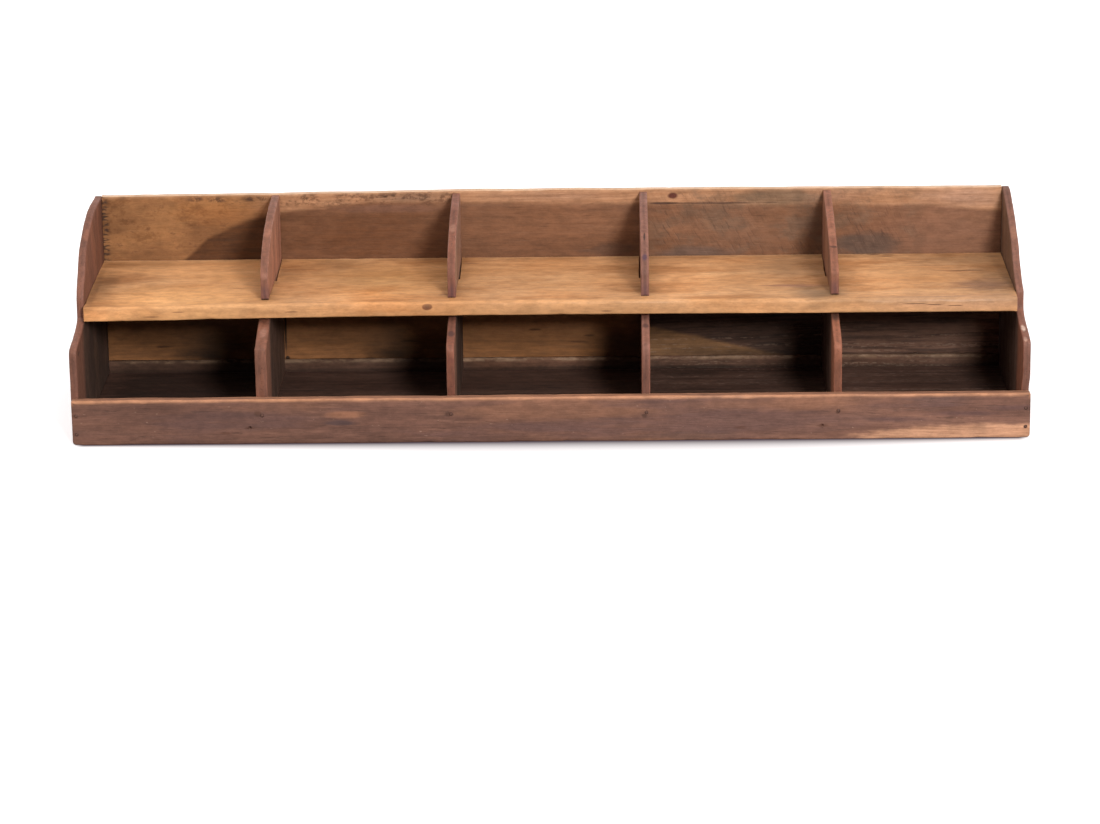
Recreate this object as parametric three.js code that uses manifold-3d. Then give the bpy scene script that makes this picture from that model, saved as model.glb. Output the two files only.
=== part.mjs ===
// Pigeonhole mail sorter: a nailed hardwood letter rack with two tiers of pigeonholes.
// Millimetres, +Z up, +X along the width, the front towards -Y. The origin is the centre of the footprint.
import * as THREE from 'three';
import { mergeVertices } from 'three/addons/utils/BufferGeometryUtils.js';
import Module from 'manifold-3d';

const wasm = await Module();
wasm.setup();

// Overall size, and the bays from left to right: the middle bay takes the width that the others leave.
const overallWidth = 1000;
const overallDepth = 262;
const overallHeight = 208;
const firstBayWidth = 187;
const secondBayWidth = 189;
const fourthBayWidth = 191.5;
const fifthBayWidth = 187;

// Board thicknesses.
const sideThickness = 8;
const dividerThickness = 8.5;
const shelfThickness = 15.5;
const railThickness = 11.5;
const backThickness = 9;
const slatThickness = 11;
const bottomThickness = 7;

// Heights above the table and setbacks from the rail's front face.
const railHeight = 48.5;
const slatHeight = 20.5;
const shelfTop = 135;
const shelfSetback = 63;
const leftSetback = 75;
const rightSetback = 82;
const dividerSetback = 79;

// Upper front edges of the upright boards. Fullness 0.55 is a quarter ellipse, and 0 is a straight cut.
const topFlat = 12;
const leftCurveFullness = 0.47;
const rightCurveFullness = 0.2;
const dividerCurveFullness = [0.55, 0.55, 0.45, 0.3];
const dividerCurveRise = 22;

// The step below the shelf: how far its corner lies under it, and how it is canted, swept and rounded.
const sideStepDrop = 19;
const sideCantSlope = 0.2;
const sideSweepLength = 33;
const dividerStepDrop = 19.5;
const dividerCantStart = 89;
const stepCornerRadius = 7;

// Rounded edges of the rail and the shelf.
const railCornerRadius = 4;
const railArrisRadius = 1.5;
const shelfArrisRadius = 4;

// Clearances: between boards that butt, in the halving joints, and around each nail.
const fitGap = 0.3;
const slotClearance = 0.8;
const nailClearance = 0.3;

// Cut nails, each with its head sunk just below the wood.
const nailShankRadius = 0.9;
const nailHeadRadius = 1.9;
const nailHeadThickness = 0.8;
const nailTip = 3;
const nailSink = 0.3;
const nailSides = 8;
const railNailLength = 32;
const sideNailLength = 30;
const backNailLength = 30;
const floorNailLength = 28;

// Places of the nails: heights above the table, drops below the top and depths behind the rail's front.
const railEndNailHeights = [12, 32];
const railDividerNailHeight = 31;
const shelfEndNailDepths = [100, 215];
const floorNailDepths = [60, 200];
const backEndNailHeight = 62;
const backEndNailDrop = 28;
const backDividerNailHeight = 65;
const backDividerNailDrop = 36;

// Segments of each rounded corner and of each long curve.
const cornerSegments = 4;
const curveSegments = 14;

// Plain colours of the woods and the nails.
const endBoardColour = 0x7f5647;
const dividerColour = 0x835a4a;
const shelfColour = 0xc28c54;
const railColour = 0x74503f;
const backColour = 0x8c6242;
const slatColour = 0x5c4534;
const floorColour = 0x4a382d;
const nailColour = 0x3a3431;

// Derived planes and places.
const dividerCount = 4;
const innerWidth = overallWidth - 2 * sideThickness;
const outerBayWidths = firstBayWidth + secondBayWidth + fourthBayWidth + fifthBayWidth;
const middleBayWidth = innerWidth - dividerCount * dividerThickness - outerBayWidths;
const bayWidths = [firstBayWidth, secondBayWidth, middleBayWidth, fourthBayWidth, fifthBayWidth];
const backEndNailHeights = [backEndNailHeight, overallHeight - backEndNailDrop];
const backDividerNailHeights = [backDividerNailHeight, overallHeight - backDividerNailDrop];
const halfInner = innerWidth / 2;
const halfWidth = overallWidth / 2;
const shelfBottom = shelfTop - shelfThickness;
const backFace = overallDepth - backThickness;
const slatFace = overallDepth - slatThickness;
const railBack = railThickness + fitGap;
const slotEnd = (shelfSetback + backFace) / 2;
const fromFront = (distance) => distance - overallDepth / 2;
const dividerCentres = bayWidths.slice(0, -1).map((width, i) => {
  const before = bayWidths.slice(0, i + 1).reduce((sum, bay) => sum + bay, 0);
  return -halfInner + before + (i + 0.5) * dividerThickness;
});
const bayCentres = bayWidths.map((width, i) => {
  const before = bayWidths.slice(0, i).reduce((sum, bay) => sum + bay, 0);
  return -halfInner + before + i * dividerThickness + width / 2;
});

// A solid from a closed three.js geometry, with its shared vertices merged.
function toSolid(geometry) {
  const bare = geometry.clone();
  bare.deleteAttribute('normal');
  bare.deleteAttribute('uv');
  const merged = mergeVertices(bare);
  const triVerts = [];
  const index = merged.index.array;
  for (let i = 0; i < index.length; i += 3) {
    const [a, b, c] = index.slice(i, i + 3);
    if (a !== b && b !== c && c !== a) triVerts.push(a, b, c);
  }
  const mesh = new wasm.Mesh({
    numProp: 3,
    vertProperties: new Float32Array(merged.attributes.position.array),
    triVerts: new Uint32Array(triVerts),
  });
  return new wasm.Manifold(mesh);
}

// The geometry of a finished solid.
function toGeometry(solid) {
  const mesh = solid.getMesh();
  const geometry = new THREE.BufferGeometry();
  const positions = new Float32Array(mesh.vertProperties);
  geometry.setAttribute('position', new THREE.BufferAttribute(positions, 3));
  geometry.setIndex(new THREE.BufferAttribute(new Uint32Array(mesh.triVerts), 1));
  geometry.computeVertexNormals();
  return geometry;
}

// Axes for an outline that is drawn in Y and Z and pulled along X.
const alongX = new THREE.Matrix4().makeBasis(
  new THREE.Vector3(0, 1, 0),
  new THREE.Vector3(0, 0, 1),
  new THREE.Vector3(1, 0, 0),
);

// Axes for an outline that is drawn in X and Z and pulled from the front towards the back.
const alongY = new THREE.Matrix4().makeBasis(
  new THREE.Vector3(1, 0, 0),
  new THREE.Vector3(0, 0, 1),
  new THREE.Vector3(0, -1, 0),
);

function pull(shape, length, axes, segments = curveSegments) {
  const options = { depth: length, bevelEnabled: false, curveSegments: segments };
  return new THREE.ExtrudeGeometry(shape, options).applyMatrix4(axes);
}

function boxGeometry(low, high) {
  const size = high.clone().sub(low);
  const middle = high.clone().add(low).multiplyScalar(0.5);
  return new THREE.BoxGeometry(size.x, size.y, size.z).translate(middle.x, middle.y, middle.z);
}

// Nails: each has a name, the point where its head meets the wood, its direction and the boards it holds.
const nails = [];

function nail(name, x, y, z, direction, length, holds) {
  nails.push({ name, at: new THREE.Vector3(x, y, z), direction, length, holds });
}

function nailProfile(length, grow, top) {
  return [
    new THREE.Vector2(0, -length - grow),
    new THREE.Vector2(nailShankRadius + grow, -length + nailTip - grow),
    new THREE.Vector2(nailShankRadius + grow, -nailSink - nailHeadThickness - grow),
    new THREE.Vector2(nailHeadRadius + grow, -nailSink - nailHeadThickness - grow),
    new THREE.Vector2(nailHeadRadius + grow, top),
    new THREE.Vector2(0, top),
  ];
}

function nailTurn(direction) {
  return new THREE.Quaternion().setFromUnitVectors(new THREE.Vector3(0, -1, 0), direction);
}

// The hole that a nail leaves in the boards, open at the surface.
function nailHole({ at, direction, length }) {
  const profile = nailProfile(length, nailClearance, nailHeadThickness);
  const geometry = new THREE.LatheGeometry(profile, nailSides);
  geometry.applyQuaternion(nailTurn(direction));
  geometry.translate(at.x, at.y, at.z);
  return toSolid(geometry);
}

const towards = {
  right: new THREE.Vector3(1, 0, 0),
  left: new THREE.Vector3(-1, 0, 0),
  back: new THREE.Vector3(0, 1, 0),
  front: new THREE.Vector3(0, -1, 0),
  up: new THREE.Vector3(0, 0, 1),
};

const ends = [
  { side: 'left', sign: -1, panel: 'left_side_panel', into: towards.right },
  { side: 'right', sign: 1, panel: 'right_side_panel', into: towards.left },
];

for (const { side, sign, panel, into } of ends) {
  const face = sign * halfWidth;
  const edge = sign * (halfWidth - sideThickness / 2);
  railEndNailHeights.forEach((z, i) => {
    const name = `rail_nail_${side}_${i + 1}`;
    nail(name, edge, fromFront(0), z, towards.back, railNailLength, ['front_rail', panel]);
  });
  shelfEndNailDepths.forEach((y, i) => {
    const name = `side_shelf_nail_${side}_${i + 1}`;
    const z = (shelfTop + shelfBottom) / 2;
    nail(name, face, fromFront(y), z, into, sideNailLength, [panel, 'mid_shelf']);
  });
  floorNailDepths.forEach((y, i) => {
    const name = `side_floor_nail_${side}_${i + 1}`;
    const z = bottomThickness / 2;
    nail(name, face, fromFront(y), z, into, sideNailLength, [panel, 'bottom_board']);
  });
  backEndNailHeights.forEach((z, i) => {
    const name = `side_back_nail_${side}_${i + 1}`;
    const y = fromFront(overallDepth - backThickness / 2);
    nail(name, face, y, z, into, sideNailLength, [panel, 'back_board_upper']);
  });
  const slatY = fromFront(overallDepth - slatThickness / 2);
  const slatZ = slatHeight / 2;
  nail(`side_slat_nail_${side}`, face, slatY, slatZ, into, sideNailLength, [panel, 'back_board_lower']);
}

dividerCentres.forEach((x, i) => {
  const divider = `divider_${i + 1}`;
  const rear = fromFront(overallDepth);
  const front = fromFront(0);
  const railName = `rail_nail_${i + 1}`;
  nail(railName, x, front, railDividerNailHeight, towards.back, railNailLength, ['front_rail', divider]);
  backDividerNailHeights.forEach((z, k) => {
    const name = `back_divider_nail_${i + 1}_${k + 1}`;
    nail(name, x, rear, z, towards.front, backNailLength, ['back_board_upper', divider]);
  });
  const slatName = `slat_divider_nail_${i + 1}`;
  const slatZ = (slatHeight + bottomThickness) / 2;
  nail(slatName, x, rear, slatZ, towards.front, backNailLength, ['back_board_lower', divider]);
  floorNailDepths.forEach((y, k) => {
    const name = `floor_divider_nail_${i + 1}_${k + 1}`;
    nail(name, x, fromFront(y), 0, towards.up, floorNailLength, ['bottom_board', divider]);
  });
});

bayCentres.forEach((x, i) => {
  const z = (shelfTop + shelfBottom) / 2;
  const name = `back_shelf_nail_${i + 1}`;
  const rear = fromFront(overallDepth);
  nail(name, x, rear, z, towards.front, backNailLength, ['back_board_upper', 'mid_shelf']);
});

const part = new THREE.Group();
part.name = 'pigeonhole_mail_sorter';

// A board: its own shape, with the holes of the nails that it takes, set in its place.
function board(name, geometry, place, colour) {
  let solid = toSolid(geometry);
  for (const each of nails) {
    if (!each.holds.includes(name)) continue;
    solid = solid.subtract(nailHole(each).translate([-place.x, -place.y, -place.z]));
  }
  const material = new THREE.MeshStandardMaterial({ color: colour, roughness: 0.6, metalness: 0 });
  const mesh = new THREE.Mesh(toGeometry(solid), material);
  mesh.name = name;
  mesh.position.copy(place);
  part.add(mesh);
}

// The curved upper front edge of an upright board, drawn from its top down to its foot.
function upperEdge(shape, foot, footHeight, fullness) {
  const topEnd = overallDepth - topFlat;
  const run = topEnd - foot;
  const rise = overallHeight - footHeight;
  shape.bezierCurveTo(
    topEnd - fullness * run, overallHeight,
    foot, footHeight + fullness * rise,
    foot, footHeight,
  );
}

// The canted top of the step, its rounded corner and the straight front edge below it.
function stepCorner(shape, cornerHeight, slope) {
  shape.lineTo(railBack + stepCornerRadius, cornerHeight + slope * stepCornerRadius);
  shape.quadraticCurveTo(railBack, cornerHeight, railBack, cornerHeight - stepCornerRadius);
}

// End board: full depth behind the rail, swept forward under the shelf.
function sidePanel(name, left, setback, fullness) {
  const corner = shelfBottom - sideStepDrop;
  const cantHeight = (y) => corner + sideCantSlope * (y - railBack);
  const sweepEnd = setback - sideSweepLength;
  const shape = new THREE.Shape();
  shape.moveTo(railBack, 0);
  shape.lineTo(overallDepth, 0);
  shape.lineTo(overallDepth, overallHeight);
  shape.lineTo(overallDepth - topFlat, overallHeight);
  upperEdge(shape, setback, shelfTop, fullness);
  shape.lineTo(setback, shelfBottom);
  shape.quadraticCurveTo(setback, cantHeight(setback), sweepEnd, cantHeight(sweepEnd));
  stepCorner(shape, corner, sideCantSlope);
  const place = new THREE.Vector3(left, fromFront(0), 0);
  board(name, pull(shape, sideThickness, alongX), place, endBoardColour);
}

// Divider: stands on the floor, butts the rail and the back, and is slotted from the front for the shelf.
function divider(i) {
  const corner = shelfBottom - dividerStepDrop;
  const slope = dividerStepDrop / (dividerCantStart - railBack);
  const rear = backFace - fitGap;
  const foot = bottomThickness + fitGap;
  const shape = new THREE.Shape();
  shape.moveTo(railBack, foot);
  shape.lineTo(slatFace - fitGap, foot);
  shape.lineTo(slatFace - fitGap, slatHeight + fitGap);
  shape.lineTo(rear, slatHeight + fitGap);
  shape.lineTo(rear, overallHeight);
  shape.lineTo(overallDepth - topFlat, overallHeight);
  upperEdge(shape, dividerSetback, shelfTop + dividerCurveRise, dividerCurveFullness[i]);
  shape.lineTo(dividerSetback, shelfTop + fitGap);
  shape.lineTo(slotEnd, shelfTop + fitGap);
  shape.lineTo(slotEnd, shelfBottom - fitGap);
  shape.lineTo(dividerCantStart, shelfBottom - fitGap);
  stepCorner(shape, corner, slope);
  const place = new THREE.Vector3(dividerCentres[i] - dividerThickness / 2, fromFront(0), 0);
  board(`divider_${i + 1}`, pull(shape, dividerThickness, alongX), place, dividerColour);
}

// Shelf: worn round along its front top edge, slotted from the rear for the dividers.
function midShelf() {
  const depth = backFace - fitGap - shelfSetback;
  const length = innerWidth - 2 * fitGap;
  const shape = new THREE.Shape();
  shape.moveTo(0, 0);
  shape.lineTo(depth, 0);
  shape.lineTo(depth, shelfThickness);
  shape.lineTo(shelfArrisRadius, shelfThickness);
  shape.absarc(shelfArrisRadius, shelfThickness - shelfArrisRadius, shelfArrisRadius, Math.PI / 2, Math.PI);
  let solid = toSolid(pull(shape, length, alongX, cornerSegments));
  const slotHalf = dividerThickness / 2 + slotClearance;
  for (const x of dividerCentres) {
    const middle = x + length / 2;
    const low = new THREE.Vector3(middle - slotHalf, slotEnd - fitGap - shelfSetback, -shelfThickness);
    const high = new THREE.Vector3(middle + slotHalf, depth + shelfThickness, 2 * shelfThickness);
    solid = solid.subtract(toSolid(boxGeometry(low, high)));
  }
  const place = new THREE.Vector3(-length / 2, fromFront(shelfSetback), shelfBottom);
  board('mid_shelf', toGeometry(solid), place, shelfColour);
}

// Rail: across the whole front, with rounded lower corners and a worn top edge.
function frontRail() {
  const shape = new THREE.Shape();
  const r = railCornerRadius;
  const a = railArrisRadius;
  shape.moveTo(-halfWidth + r, 0);
  shape.lineTo(halfWidth - r, 0);
  shape.absarc(halfWidth - r, r, r, -Math.PI / 2, 0);
  shape.lineTo(halfWidth, railHeight - a);
  shape.absarc(halfWidth - a, railHeight - a, a, 0, Math.PI / 2);
  shape.lineTo(-halfWidth + a, railHeight);
  shape.absarc(-halfWidth + a, railHeight - a, a, Math.PI / 2, Math.PI);
  shape.lineTo(-halfWidth, r);
  shape.absarc(-halfWidth + r, r, r, Math.PI, Math.PI * 1.5);
  const place = new THREE.Vector3(0, fromFront(railThickness), 0);
  board('front_rail', pull(shape, railThickness, alongY, cornerSegments), place, railColour);
}

// A plain board with square edges.
function plainBoard(name, low, high, colour) {
  const size = high.clone().sub(low);
  board(name, boxGeometry(new THREE.Vector3(), size), low, colour);
}

function backBoards() {
  const left = -halfInner + fitGap;
  const right = halfInner - fitGap;
  const rear = fromFront(overallDepth);
  const upperLow = new THREE.Vector3(left, fromFront(backFace), slatHeight + fitGap);
  plainBoard('back_board_upper', upperLow, new THREE.Vector3(right, rear, overallHeight), backColour);
  const lowerLow = new THREE.Vector3(left, fromFront(slatFace), 0);
  plainBoard('back_board_lower', lowerLow, new THREE.Vector3(right, rear, slatHeight), slatColour);
}

function bottomBoard() {
  const low = new THREE.Vector3(-halfInner + fitGap, fromFront(railBack), 0);
  const high = new THREE.Vector3(halfInner - fitGap, fromFront(slatFace - fitGap), bottomThickness);
  plainBoard('bottom_board', low, high, floorColour);
}

function nailMeshes() {
  for (const { name, at, direction, length } of nails) {
    const turned = new THREE.LatheGeometry(nailProfile(length, 0, -nailSink), nailSides);
    const material = new THREE.MeshStandardMaterial({ color: nailColour, roughness: 0.7, metalness: 0.8 });
    const mesh = new THREE.Mesh(toGeometry(toSolid(turned)), material);
    mesh.name = name;
    mesh.position.copy(at);
    mesh.quaternion.copy(nailTurn(direction));
    part.add(mesh);
  }
}

sidePanel('left_side_panel', -halfWidth, leftSetback, leftCurveFullness);
sidePanel('right_side_panel', halfInner, rightSetback, rightCurveFullness);
backBoards();
midShelf();
bottomBoard();
frontRail();
dividerCentres.forEach((x, i) => divider(i));
nailMeshes();

export default part;
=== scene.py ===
"""Looks of the pigeonhole mail sorter: worn reclaimed boards and old nails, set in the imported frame."""
import math
import random

import bmesh
import bpy
from mathutils import Matrix, Vector, noise


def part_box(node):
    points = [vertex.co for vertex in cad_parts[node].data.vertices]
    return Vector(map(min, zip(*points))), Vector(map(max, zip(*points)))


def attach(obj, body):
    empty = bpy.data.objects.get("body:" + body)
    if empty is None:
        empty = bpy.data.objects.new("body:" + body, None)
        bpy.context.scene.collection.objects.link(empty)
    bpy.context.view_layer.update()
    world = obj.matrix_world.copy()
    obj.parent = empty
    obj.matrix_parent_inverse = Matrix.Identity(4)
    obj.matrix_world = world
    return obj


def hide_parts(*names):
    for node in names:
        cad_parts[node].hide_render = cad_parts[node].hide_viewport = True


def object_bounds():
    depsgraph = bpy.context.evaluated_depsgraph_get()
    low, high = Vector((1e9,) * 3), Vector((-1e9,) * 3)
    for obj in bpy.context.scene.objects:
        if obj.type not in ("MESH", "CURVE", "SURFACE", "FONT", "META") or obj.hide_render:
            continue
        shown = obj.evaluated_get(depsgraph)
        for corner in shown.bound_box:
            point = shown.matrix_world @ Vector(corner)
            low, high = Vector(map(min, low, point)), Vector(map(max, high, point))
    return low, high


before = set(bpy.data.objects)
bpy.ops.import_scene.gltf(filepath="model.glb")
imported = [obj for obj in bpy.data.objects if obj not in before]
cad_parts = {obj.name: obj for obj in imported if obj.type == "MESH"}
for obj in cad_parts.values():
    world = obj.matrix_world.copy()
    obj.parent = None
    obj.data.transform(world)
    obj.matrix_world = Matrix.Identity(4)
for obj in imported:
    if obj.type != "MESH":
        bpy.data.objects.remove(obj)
cad_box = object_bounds()

MM = 0.001
AXES = {"X": 0, "Y": 1, "Z": 2}
LOW = 0
HIGH = 1


def packed(node, side, axis):
    """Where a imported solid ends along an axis, in millimetres, at its low or its high side."""
    return round(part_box(node)[side][AXES[axis]] / MM, 1)


# The photograph's width and the lens, place and turn that lay the model over it.
PHOTO_WIDTH = 1100
FOCAL_PIXELS = 4000
CAMERA_PLACE = (0.0676, -4.1315, 1.2243)
CAMERA_YAW = 0.966
CAMERA_PITCH = 16.588
CAMERA_ROLL = 0.768

# Planes of the part in millimetres, from the frame: depths count from the rail's front face, heights from the
# table. Boards that meet have a gap between them.
GAP = 0.3
FRONT = packed("front_rail", LOW, "Y")
DEPTH = packed("back_board_upper", HIGH, "Y") - FRONT
HEIGHT = packed("back_board_upper", HIGH, "Z")
HALF_WIDTH = packed("right_side_panel", HIGH, "X")
HALF_INNER = packed("right_side_panel", LOW, "X")
INNER_END = HALF_INNER - GAP
SIDE = HALF_WIDTH - HALF_INNER
RAIL_THICKNESS = packed("front_rail", HIGH, "Y") - FRONT
RAIL_BACK = RAIL_THICKNESS + GAP
RAIL_HEIGHT = packed("front_rail", HIGH, "Z")
SHELF_FRONT = packed("mid_shelf", LOW, "Y") - FRONT
SHELF_BOTTOM = packed("mid_shelf", LOW, "Z")
SHELF_TOP = packed("mid_shelf", HIGH, "Z")
BACK_FACE = packed("back_board_upper", LOW, "Y") - FRONT
SLAT_FACE = packed("back_board_lower", LOW, "Y") - FRONT
SLAT_HEIGHT = packed("back_board_lower", HIGH, "Z")
FLOOR_TOP = packed("bottom_board", HIGH, "Z")
DIVIDER_SIDES = [[packed(f"divider_{i}", side, "X") for side in (LOW, HIGH)] for i in range(1, 5)]
DIVIDER_CENTRES = [sum(sides) / 2 for sides in DIVIDER_SIDES]
DIVIDER = DIVIDER_SIDES[0][HIGH] - DIVIDER_SIDES[0][LOW]

# Where the slots of the shelf and the dividers meet, how loose they are and how worn, and how far the rail's
# ends stand out past the end boards.
SLOT_END = (SHELF_FRONT + BACK_FACE) / 2
SLOT_SLACK = 0.5
SLOT_WEAR = 1.7
RAIL_OVERHANG = 0.8

# Upper front edges and the step under the shelf, as the part has them.
TOP_FLAT = 12.0
LEFT_SETBACK = 75.0
RIGHT_SETBACK = 82.0
DIVIDER_SETBACK = 79.0
LEFT_FULLNESS = 0.47
RIGHT_FULLNESS = 0.2
DIVIDER_FULLNESS = (0.55, 0.55, 0.45, 0.3)
CURVE_RISE = 22.0
STEP_HEIGHT = SHELF_BOTTOM - 19.0
CANT_SLOPE = 0.2
SWEEP = 33.0
DIVIDER_STEP = SHELF_BOTTOM - 19.5
DIVIDER_CANT = 89.0
STEP_RADIUS = 7.0

# Where the worn boards depart from the part: the first divider's sharper corner, the lower tops of the
# dividers and the left end board, and how far the boards' feet stand off the table.
FIRST_STEP_RADIUS = 2.5
DIVIDER_TOP = HEIGHT - 0.5
LEFT_HEIGHT = HEIGHT - 1.4
FOOT_LIFT = 0.2

# The hand-planed top of the back board, as width and height: it crowns a little in the middle.
BACK_TOP = (
    (INNER_END, 209.0), (208.0, 209.9), (0.0, 210.4), (-108.0, 210.2), (-286.0, 208.3), (-INNER_END, 207.2),
)

# How far the shelf has dropped at its left front and risen in the middle, how far the uprights bow, and how
# deep from the front both go.
SHELF_DROP = 2.4
SHELF_RISE = 0.9
LEFT_FOOT_BOW = 2.0
LEFT_TOP_BOW = 1.7
RIGHT_FOOT_BOW = 1.3
RIGHT_WAIST_BOW = 1.0
FIRST_DIVIDER_SWELL = 1.8
FIRST_DIVIDER_SHIFT = 0.8
BOW_DEPTH = 90.0
SAG_DEPTH = 130.0

# Heights in metres at which a bow of an end board begins, is full, begins to fade and ends.
LEFT_FOOT_HEIGHTS = (0.0, 0.045, 0.09, 0.13)
RIGHT_FOOT_HEIGHTS = (0.05, 0.065, 0.1, 0.125)
RIGHT_WAIST_HEIGHTS = (0.135, 0.145, 0.16, 0.175)

# Old empty nail holes: place, the way they open and depth.
SHELF_OLD_HOLES = (((-179.8, 112.2, 135.6), (0, 0, 1), 5.0),)
RAIL_OLD_HOLES = (((-313.9, 0.0, 17.8), (0, -1, 0), 4.0), ((283.9, 0.0, 15.1), (0, -1, 0), 4.0))

# Spacing of the points along an outline, and the steps of a worn edge.
OUTLINE_STEP = 5.0
EDGE_STEPS = 4

# Cells of a wide face, what keeps their cuts off the outline's points, and how far the face rises and falls.
CELL = 18
CUT_OFFSET = 0.013
UNEVENNESS = 0.22

# Rings beside a worn edge: how far in they lie, the most of the free room that they take, and their wear.
FACE_RINGS = ((6.0, 0.9, 0.0), (2.0, 0.4, 0.35))
MIDDLE_WEAR = 0.35

# Least and greatest half width and depth of a dent in an edge.
DENT_WIDTH = (2.0, 7.0)
DENT_DEPTH = (0.5, 1.7)

# Points of the upper front curve and of the sweep under the shelf.
CURVE_POINTS = 34
SWEEP_POINTS = 10

# Turns of an outline in radians, and the room that a sharp corner and a straight run leave for a round edge.
GENTLE_TURN = 0.2
SHARP_TURN = 1.2
SHARP_ROOM = 0.2
OPEN_ROOM = 1e3

# Half outlines of a nail and of its hole, as radius and height.
NAIL_POINT = ((0, 0), (0.35, 1.2), (0.85, 3.4))
NAIL_HEAD = (
    (0.9, -3.0), (1.05, -1.5), (1.75, -0.95), (1.88, -0.6), (1.82, -0.3), (1.45, -0.08), (0.7, 0.0),
    (0, -0.06),
)
HOLE_POINT = ((0, -0.3), (1.15, 2.0))
HOLE_HEAD = ((1.15, -1.7), (1.95, -1.2), (2.05, 0.0), (2.3, 1.2), (0, 1.2))

# An old nail's head: how deep it is, how far it leans, and how far it is out of round in two and three waves.
HEAD_DEPTH = 1.2
HEAD_LEAN = 0.05
HEAD_OVAL = 0.05
HEAD_LOBES = 0.03

# Angles in degrees from which an edge is drawn sharp, and the sides of a nail and of its hole.
BOARD_SHARP = 38
NAIL_SHARP = 50
NAIL_SIDES = 16
HOLE_SIDES = 14

# How far in metres a nail enters a board at the least, to be given a hole in it.
LEAST_ENTRY = 0.0005

# The key lamp in metres and watts, and the low light of the room in front of the object and behind it.
KEY_PLACE = (1.3, -4.45, 1.92)
KEY_TARGET = (0.0, 0.0, 0.1)
KEY_COLOUR = (1.0, 0.985, 0.96)
KEY_SIZE = 0.9
KEY_POWER = 240.0
WORLD_FRONT = 0.05
WORLD_BACK = 5.0
WHITE = (1.0, 1.0, 1.0, 1.0)
WARM_WHITE = (1.0, 0.98, 0.96, 1.0)

# The table in metres, its colour to the camera and as a bounce, and the shadow painted under the rail: how
# far it reaches forward at its ends and what it gains in the middle.
TABLE_HALF = 6.0
TABLE_PAINT = (0.8, 0.77, 0.785, 1.0)
TABLE_BOUNCE = (0.15, 0.15, 0.15, 1.0)
CONTACT_TONE = (0.08, 0.05, 0.065, 1.0)
CONTACT_END = 0.005
CONTACT_MIDDLE = 0.025


def add_object(name, data):
    """A new object in the scene."""
    made = bpy.data.objects.new(name, data)
    bpy.context.scene.collection.objects.link(made)
    return made


# Camera and lamps

def make_camera():
    data = bpy.data.cameras.new("camera")
    data.sensor_width = 36.0
    data.lens = data.sensor_width * FOCAL_PIXELS / PHOTO_WIDTH
    data.clip_start = 0.05
    data.clip_end = 60.0
    camera = add_object("camera", data)
    yaw = math.radians(CAMERA_YAW)
    pitch = math.radians(CAMERA_PITCH)
    roll = math.radians(CAMERA_ROLL)
    ahead = Vector((-math.sin(yaw) * math.cos(pitch), math.cos(yaw) * math.cos(pitch), -math.sin(pitch)))
    level = Vector((math.cos(yaw), math.sin(yaw), 0.0))
    down = ahead.cross(level)
    right = level * math.cos(roll) + down * math.sin(roll)
    low = down * math.cos(roll) - level * math.sin(roll)
    turn = Matrix((right, -low, -ahead)).transposed()
    camera.matrix_world = Matrix.Translation(CAMERA_PLACE) @ turn.to_4x4()
    bpy.context.scene.camera = camera


def make_sun(name, azimuth, elevation, strength, angle, colour):
    """A far soft lamp. Azimuth 0 shines from the front, and 90 from the right."""
    data = bpy.data.lights.new(name, "SUN")
    data.energy = strength
    data.angle = math.radians(angle)
    data.color = colour
    lamp = add_object(name, data)
    a = math.radians(azimuth)
    e = math.radians(elevation)
    towards = Vector((math.sin(a) * math.cos(e), -math.cos(a) * math.cos(e), math.sin(e)))
    lamp.rotation_mode = "QUATERNION"
    lamp.rotation_quaternion = towards.to_track_quat("Z", "Y")


def make_key():
    """A soft lamp at the right front, as far off as the slant of the shadows says."""
    data = bpy.data.lights.new("key", "AREA")
    data.shape = "DISK"
    data.size = KEY_SIZE
    data.energy = KEY_POWER
    data.color = KEY_COLOUR
    lamp = add_object("key", data)
    lamp.location = KEY_PLACE
    lamp.visible_camera = False
    aim = Vector(KEY_TARGET) - lamp.location
    lamp.rotation_mode = "QUATERNION"
    lamp.rotation_quaternion = aim.to_track_quat("-Z", "Y")


# Small helpers for building materials

def tone(red, green, blue):
    """A colour as it is read off a screen, 0 to 255, as the shader's linear value."""
    linear = []
    for part in (red, green, blue):
        part = part / 255
        linear.append(part / 12.92 if part <= 0.04045 else ((part + 0.055) / 1.055) ** 2.4)
    return (*linear, 1.0)


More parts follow.
